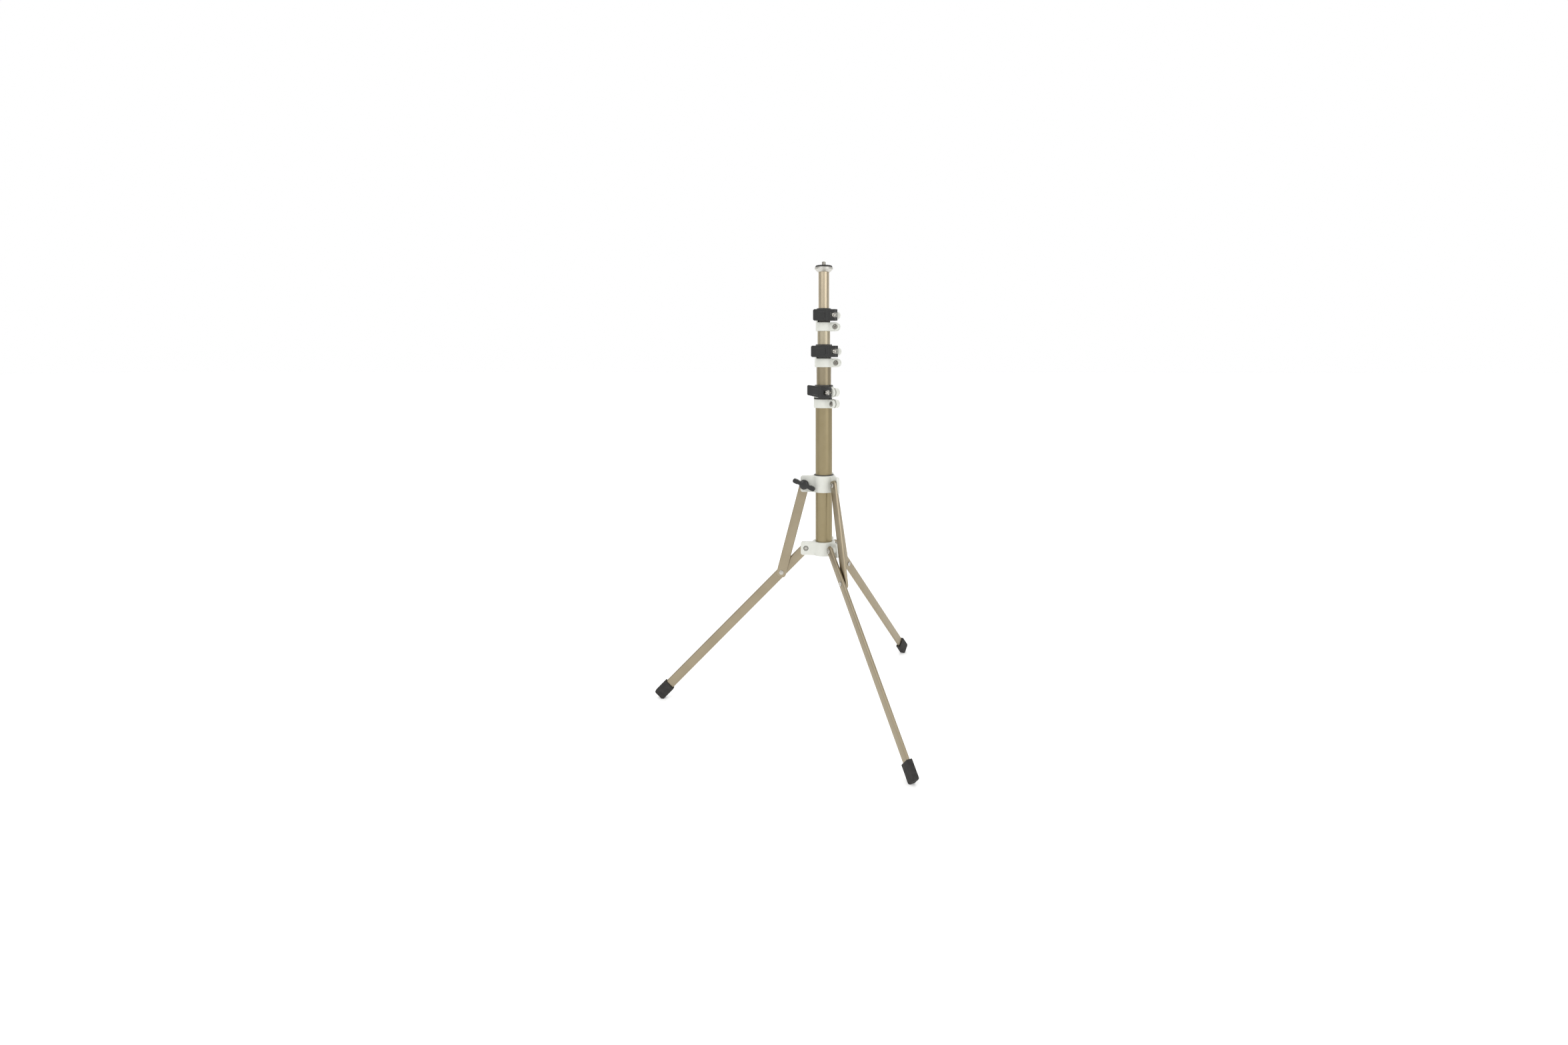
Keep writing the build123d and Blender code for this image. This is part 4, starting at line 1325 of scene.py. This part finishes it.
@dataclass
class Spreader:
    """Hub, collar, their screws and nuts, the collar's bushing and the wing knob."""

    screw_head_radius: float = 3.6
    screw_head_height: float = 1.8
    screw_radius: float = 2.0
    head_gap: float = 0.1           # between a screw's head and what it holds
    leg_face: float = -4.65
    brace_face: float = 0.15
    lug_low: float = 4.45
    lug_high: float = 8.95
    pocket_depth: float = 2.8
    nut_flats: float = 6.0
    nut_height: float = 2.2
    main_radius: float = 12.5
    bushing_wall: float = 1.5
    lip_height: float = 1.2
    collar_height: float = 24.5
    knob_gap: float = 0.4
    knob_neck: float = 5.4
    wing_thickness: float = 6.5
    wing_width: float = 7.0
    knob_span: float = 35.5
    boss_radius: float = 7.3
    knob_tilt: float = -24.0
    lock_bolt_reach: float = 9.0

    def screw(self, length: float) -> Piece:
        """Cross screw with a shank of a given length, its head pointing along -Y."""
        fit = Fastener(self.screw_head_radius, self.screw_head_height, self.screw_radius, length)
        return turn_to(fit.cross_screw(), TO_MINUS_Y)

    def pivot_set(self, label: str, joints: Sequence[tuple[int, str]], face: float, body: str,
                  nodes: tuple[str, str], finishes: Finishes) -> None:
        """Screws and nuts on one set of hinges.

        Args:
            label: What they hold.
            joints: Number and joint of each hinge.
            face: Outer face of the layer under the heads.
            body: The body that carries them.
            nodes: CAD nodes of the screws and of the nuts.
            finishes: The materials.
        """
        floor = self.lug_high - self.pocket_depth
        screw = self.screw(floor + self.nut_height - face + self.head_gap)
        nut = turn_to(hexagon_nut(self.nut_flats, self.screw_radius + 0.02, self.nut_height), TO_PLUS_Y)
        for order, (number, name) in enumerate(joints):
            place = pivot_place(name)
            stands_for = [nodes[0]] if order == 0 else []
            head = Matrix.Translation((0, face - self.head_gap, 0))
            finish_piece(copy_of(screw), f"{label}_screw_{number}", place @ head, finishes.nickel, body,
                         stands_for)
            stands_for = [nodes[1]] if order == 0 else []
            finish_piece(copy_of(nut), f"{label}_nut_{number}", place @ Matrix.Translation((0, floor, 0)),
                         finishes.zinc, body, stands_for)
        bpy.data.objects.remove(screw)
        bpy.data.objects.remove(nut)

    def knob(self) -> Piece:
        """Wing knob along Y: a domed boss, two wings thicker at their tips, and a round neck.

        Returns:
            The knob, with the bolt's axis on Y.
        """
        back = self.lug_high + self.knob_gap
        wing_back = back + self.knob_neck
        front = wing_back + self.wing_thickness
        tip = self.knob_span / 2
        half = self.wing_width / 2
        waist = half - 0.7
        middle_x = self.boss_radius + 1.5
        left = [(-tip, half - 0.4, 2.9), (-tip + 6.5, half, 3), (-middle_x, waist, 2.5),
                (-self.boss_radius, waist, 0)]
        top = left + [(-x, y, r) for x, y, r in reversed(left)]
        outline = rounded(top + [(-x, -y, r) for x, y, r in top], 6)
        piece = upright(outline, wing_back, front)
        crown = 1.6
        dome = [(0.0, front + crown - 1.0), (4.2, front + crown - 1.2), (self.boss_radius - 1.4, front - 0.3),
                (self.boss_radius, front - 2.2), (self.boss_radius, wing_back), (6.0, wing_back - 0.8),
                (6.0, back), (0.0, back)]
        combine(piece, along_y(turned(dome, SMALL_STEPS)), Operation.ADD)
        combine(piece, along_y(round_bar(3.6, back - 1, back + self.lock_bolt_reach + 1)), Operation.CUT)
        moulded(piece, 0.32, 6)
        tilt = Matrix.Rotation(math.radians(self.knob_tilt), 4, "Y")
        return smooth(turn_to(piece, tilt), MOULDED_ANGLE)

    def bushing(self) -> Piece:
        """Dark sleeve of the collar with a rounded lip above it.

        Returns:
            The sleeve.
        """
        bore = self.main_radius + 0.05
        outer = self.main_radius + self.bushing_wall
        half = self.collar_height / 2
        lip = outer + 0.6
        high = half + self.lip_height
        outline = [(bore, 0.3 - half), (bore + 0.3, -half), (outer, -half), (outer, half), (lip, half)]
        outline += arc((lip - 0.5, high - 0.5), 0.5, 0, 90, 5)
        outline += [(bore + 0.3, high), (bore, high - 0.3), (bore, 0.3 - half)]
        return smooth(turned(outline), 40)

    def build(self, finishes: Finishes) -> None:
        """Make the hub, the collar and what is on them.

        Args:
            finishes: Every finish of the stand.
        """
        leg_joints = ("leg_1_fold", "leg_2_fold", "leg_3_fold")
        brace_joints = ("brace_1_swing", "brace_2_swing", "brace_3_swing")
        hub = LuggedRing("leg_hub_moulded", "leg_hub", "root", leg_joints, height=20.0, lug_tip=34.0,
                         pivot_radius=26.2, bore=self.main_radius, boss_radius=5.5)
        hub.build(finishes, Vector(joint("leg_1_fold")["pos_m"]).z / MM)
        collar_z = Vector(joint("brace_1_swing")["pos_m"]).z / MM
        collar = LuggedRing("spreader_collar_moulded", "spreader_collar", "collar", brace_joints,
                            height=self.collar_height, lug_tip=34.3, pivot_radius=28.3,
                            bore=self.main_radius + self.bushing_wall, pocket_numbers=(1, 2))
        collar.build(finishes, collar_z)
        finish_piece(self.bushing(), "collar_bushing_lipped", pole_place(collar_z), finishes.nylon,
                     "collar", ["collar_bushing"])
        self.pivot_set("leg_pivot", list(enumerate(leg_joints, 1)), self.leg_face, "root",
                       ("leg_pivot_screws", "leg_pivot_nuts"), finishes)
        self.pivot_set("brace_pivot", [(2, "brace_2_swing"), (3, "brace_3_swing")], self.brace_face, "collar",
                       ("brace_pivot_screws", "brace_pivot_nuts"), finishes)
        place = pivot_place("brace_1_swing")
        length = self.lug_high + self.knob_gap + self.lock_bolt_reach - self.brace_face
        head = Matrix.Translation((0, self.brace_face - self.head_gap, 0))
        finish_piece(self.screw(length), "lock_bolt_cross", place @ head, finishes.nickel, "collar",
                     ["lock_bolt"])
        finish_piece(self.knob(), "lock_knob_winged", place, finishes.black, "knob", ["lock_knob"])
        dress_node("knob_insert", finishes.brass)


# ---------------------------------------------------------------- legs and braces
@dataclass
class LegSet:
    """The three legs with their rubber feet, and the braces that hold them out."""

    spread_angle: float = 44.5
    length: float = 322.0
    width: float = 14.2
    leg_layer: tuple[float, float] = (-4.65, -0.15)
    edge: float = 1.9
    foot_width: float = 17.6
    foot_thickness: float = 8.0
    foot_height: float = 24.0
    foot_floor: float = 4.0
    foot_corner: float = 2.8
    foot_edge: float = 0.9
    mouth_gap: float = 0.25
    mouth_edge: float = 1.6
    brace_length: float = 139.0
    brace_end: float = 7.0
    brace_width: float = 14.5
    brace_layer: tuple[float, float] = (0.15, 4.15)
    brace_corner: float = 5.0
    brace_edge: float = 1.0
    rivet_distance: float = 53.4
    rivet_radius: float = 3.4
    rivet_height: float = 1.2
    rivet_shank: float = 2.0

    def brace_lean(self, number: int) -> float:
        """Angle of a brace from straight down, from its own pivot to its leg's rivet, in degrees.

        Args:
            number: The brace's number, from 1 to 3.

        Returns:
            The angle.
        """
        leg = pivot_place(f"leg_{number}_fold", -self.spread_angle)
        end = leg @ Vector((0, 0, -self.rivet_distance))
        start = pivot_place(f"brace_{number}_swing")
        local = start.inverted() @ end
        return math.degrees(math.atan2(local.x, -local.z))

    def leg(self) -> Piece:
        """Flattened tube along -Z, rounded at its pivot end and along its edges.

        Returns:
            The leg.
        """
        half = self.width / 2
        bottom = self.foot_floor - self.length
        outline = [(-half, bottom), (half, bottom)] + arc((0, 0), half, 0, 180, 32)
        piece = upright(outline, *self.leg_layer)
        return smooth(bevelled(piece, self.edge, 6), 40)

    def foot(self) -> Piece:
        """Rubber cap: a rounded box with a lip round the leg.

        Returns:
            The cap.
        """
        half = self.foot_width / 2
        low = -self.length
        high = low + self.foot_height
        outline = rounded([(-half, low, self.foot_corner), (half, low, self.foot_corner), (half, high, 0.6),
                           (-half, high, 0.6)], 8)
        middle = sum(self.leg_layer) / 2
        piece = upright(outline, middle - self.foot_thickness / 2, middle + self.foot_thickness / 2)
        bevelled(piece, self.foot_edge, 4)
        mouth = self.width / 2 + self.mouth_gap
        layer = (self.leg_layer[0] - self.mouth_gap, self.leg_layer[1] + self.mouth_gap)
        hole = rounded([(-mouth, low + self.foot_floor, 0.5), (mouth, low + self.foot_floor, 0.5),
                        (mouth, high + 2, 0), (-mouth, high + 2, 0)], 4)
        pocket = bevelled(upright(hole, *layer), self.mouth_edge, 5)
        return smooth(combine(piece, pocket, Operation.CUT), 40)

    def brace(self) -> Piece:
        """Flat bar along -Z with rounded corners and edges.

        Returns:
            The brace.
        """
        half, corner = self.brace_width / 2, self.brace_corner
        low, high = -self.brace_length - self.brace_end, self.brace_end
        outline = rounded([(-half, low, corner), (half, low, corner), (half, high, corner),
                           (-half, high, corner)], 10)
        piece = upright(outline, *self.brace_layer)
        return smooth(bevelled(piece, self.brace_edge, 4), 40)

    def rivet(self, layer: tuple[float, float]) -> Piece:
        """Half a rivet, as long as a layer is thick."""
        return Fastener(self.rivet_radius, self.rivet_height, self.rivet_shank, layer[1] - layer[0]).rivet()

    def build(self, finishes: Finishes) -> None:
        """Make the legs, the feet, the braces and both halves of each rivet.

        Args:
            finishes: Every finish of the stand.
        """
        leg, foot, brace = self.leg(), self.foot(), self.brace()
        inner = turn_to(self.rivet(self.leg_layer), TO_MINUS_Y)
        outer = turn_to(self.rivet(self.brace_layer), TO_PLUS_Y)
        for number in (1, 2, 3):
            place = pivot_place(f"leg_{number}_fold", -self.spread_angle)
            grain = finishes.along(f"anodised_aluminium_leg_{number}", place)
            body = f"leg_{number}"
            finish_piece(copy_of(leg), f"{body}_tube_flattened", place, grain, body, [f"{body}_tube"])
            cap = turn_to(copy_of(foot), place)
            combine(cap, block((-500, -500, -100), (500, 500, 0)), Operation.CUT)
            finish_piece(smooth(cap, 40), f"{body}_foot_cap", Matrix.Identity(4), finishes.rubber, body,
                         [f"{body}_foot"])
            head = Matrix.Translation((0, self.leg_layer[0], -self.rivet_distance))
            finish_piece(copy_of(inner), f"{body}_rivet_domed", place @ head, finishes.nickel, body,
                         [f"{body}_rivet"])
            place = pivot_place(f"brace_{number}_swing", -self.brace_lean(number))
            grain = finishes.along(f"anodised_aluminium_brace_{number}", place)
            body = f"brace_{number}"
            finish_piece(copy_of(brace), f"{body}_bar_rounded", place, grain, body, [f"{body}_bar"])
            head = Matrix.Translation((0, self.brace_layer[1], -self.brace_length))
            finish_piece(copy_of(outer), f"{body}_rivet_domed", place @ head, finishes.nickel, body,
                         [f"{body}_rivet"])
        for spare in (leg, foot, brace, inner, outer):
            bpy.data.objects.remove(spare)


# ---------------------------------------------------------------- studio
@dataclass(frozen=True)
class SoftLight:
    """One square area light that points at the stand."""

    name: str
    azimuth: float
    height: float
    distance: float
    size: float
    power: float

    def place(self, target: Vector) -> None:
        """Add the light.

        Args:
            target: What it points at, in metres.
        """
        data = bpy.data.lights.new(self.name, "AREA")
        data.size = self.size
        data.energy = self.power
        lamp = bpy.data.objects.new(self.name, data)
        bpy.context.scene.collection.objects.link(lamp)
        turn = math.radians(self.azimuth)
        lamp.location = Vector((target.x + self.distance * math.cos(turn),
                                target.y + self.distance * math.sin(turn), self.height))
        lamp.rotation_euler = (target - lamp.location).to_track_quat("-Z", "Y").to_euler()


@dataclass
class Studio:
    """Pale floor, white surroundings, soft lights and the camera."""

    camera_distance: float = 1.17
    camera_height: float = 0.515
    camera_azimuth: float = 273.8
    lens: float = 17.9
    sensor: float = 36.0
    shift_x: float = -0.0254
    shift_y: float = -0.1037
    floor_size: float = 60.0
    floor_glow: float = 0.16        # hides the line where the floor meets the room
    white_width: float = 0.88       # sine of the angle from straight ahead at which the grey starts
    grey_width: float = 0.98        # and at which it is full
    side_tone: str = "#A4A4A2"
    target_height: float = 0.33

    def camera(self) -> None:
        """Level camera that looks at the pole's axis."""
        spot = axis_point() * MM
        turn = math.radians(self.camera_azimuth)
        data = bpy.data.cameras.new("camera")
        data.sensor_width = self.sensor
        data.lens = self.lens
        data.shift_x = self.shift_x
        data.shift_y = self.shift_y
        data.clip_start = 0.01
        viewer = bpy.data.objects.new("camera", data)
        bpy.context.scene.collection.objects.link(viewer)
        viewer.location = (spot.x + self.camera_distance * math.cos(turn),
                           spot.y + self.camera_distance * math.sin(turn), self.camera_height)
        viewer.rotation_euler = (math.pi / 2, 0, turn + math.pi / 2)
        bpy.context.scene.camera = viewer

    def floor(self) -> None:
        """Pale light table with a very faint mottling and a little glow of its own."""
        bpy.ops.object.select_all(action="DESELECT")
        bpy.ops.mesh.primitive_plane_add(size=self.floor_size, location=(0, 0, 0))
        ground = bpy.context.active_object
        ground.name = "studio_floor"
        material, tree, shader = start_material("opal_glass_floor")
        cloud = spread_noise(tree, object_coordinates(tree), 400.0, 2.0, 0.0, 1.0)
        tree.links.new(two_tones(tree, cloud, "#FBFBFA", "#F9F9F8"), shader.inputs["Base Color"])
        shader.inputs["Roughness"].default_value = 0.7
        shader.inputs["Emission Color"].default_value = srgb("#FFFFFF")
        shader.inputs["Emission Strength"].default_value = self.floor_glow
        ground.data.materials.append(material)

    def surroundings(self) -> None:
        """White light all round, with a greyer wall at each side for the metal to mirror."""
        world = bpy.data.worlds.new("white_room")
        world.use_nodes = True
        tree = world.node_tree
        coordinates = add_node(tree, "ShaderNodeTexCoord")
        turned_back = add_node(tree, "ShaderNodeMapping",
                               values={"Rotation": (0, 0, -math.radians(self.camera_azimuth))},
                               links={"Vector": coordinates.outputs["Generated"]})
        across = add_node(tree, "ShaderNodeSeparateXYZ", links={"Vector": turned_back.outputs["Vector"]})
        sideways = add_node(tree, "ShaderNodeMath", settings={"operation": "ABSOLUTE"},
                            links={0: across.outputs["Y"]})
        share = add_node(tree, "ShaderNodeMapRange", links={"Value": sideways.outputs["Value"]},
                         values={"From Min": self.white_width, "From Max": self.grey_width})
        background = tree.nodes["Background"]
        walls = two_tones(tree, share.outputs["Result"], "#FFFFFF", self.side_tone)
        tree.links.new(walls, background.inputs["Color"])
        background.inputs["Strength"].default_value = 1.0
        bpy.context.scene.world = world

    def build(self) -> None:
        """Set up the studio."""
        self.camera()
        self.floor()
        self.surroundings()
        target = axis_point() * MM + Vector((0, 0, self.target_height))
        for light in (SoftLight("key", 235, 1.5, 1.6, 0.9, 7), SoftLight("fill", 318, 1.0, 1.8, 1.1, 6),
                      SoftLight("rim", 80, 1.6, 1.7, 0.8, 5)):
            light.place(target)
        bpy.context.scene.view_settings.view_transform = "Standard"


def main() -> None:
    """Build the stand's looks, then the studio."""
    logging.basicConfig(level=logging.INFO, format="%(name)s: %(message)s")
    studio = Studio()
    studio.build()
    finishes = Finishes()
    PoleTubes().build(finishes)
    PoleTop().build(finishes)
    for clamp in (
        LeverClamp("lower", -44.0, 12.5, 11.0, "root", "lower_lever", (4.5, 2.5), 33.0),
        LeverClamp("middle", -11.0, 11.0, 9.5, "section_2", "middle_lever", (0.0, 0.0), 35.0),
        LeverClamp("upper", -9.0, 9.5, 8.0, "section_3", "upper_lever", (0.0, 0.0), 31.0),
    ):
        clamp.build(finishes)
    Spreader().build(finishes)
    LegSet().build(finishes)
    for node in ("base_plug", "stud_plug", "section_2_guide", "section_3_guide", "section_4_guide"):
        dress_node(node, finishes.nylon)


if __name__ == "__main__":
    main()
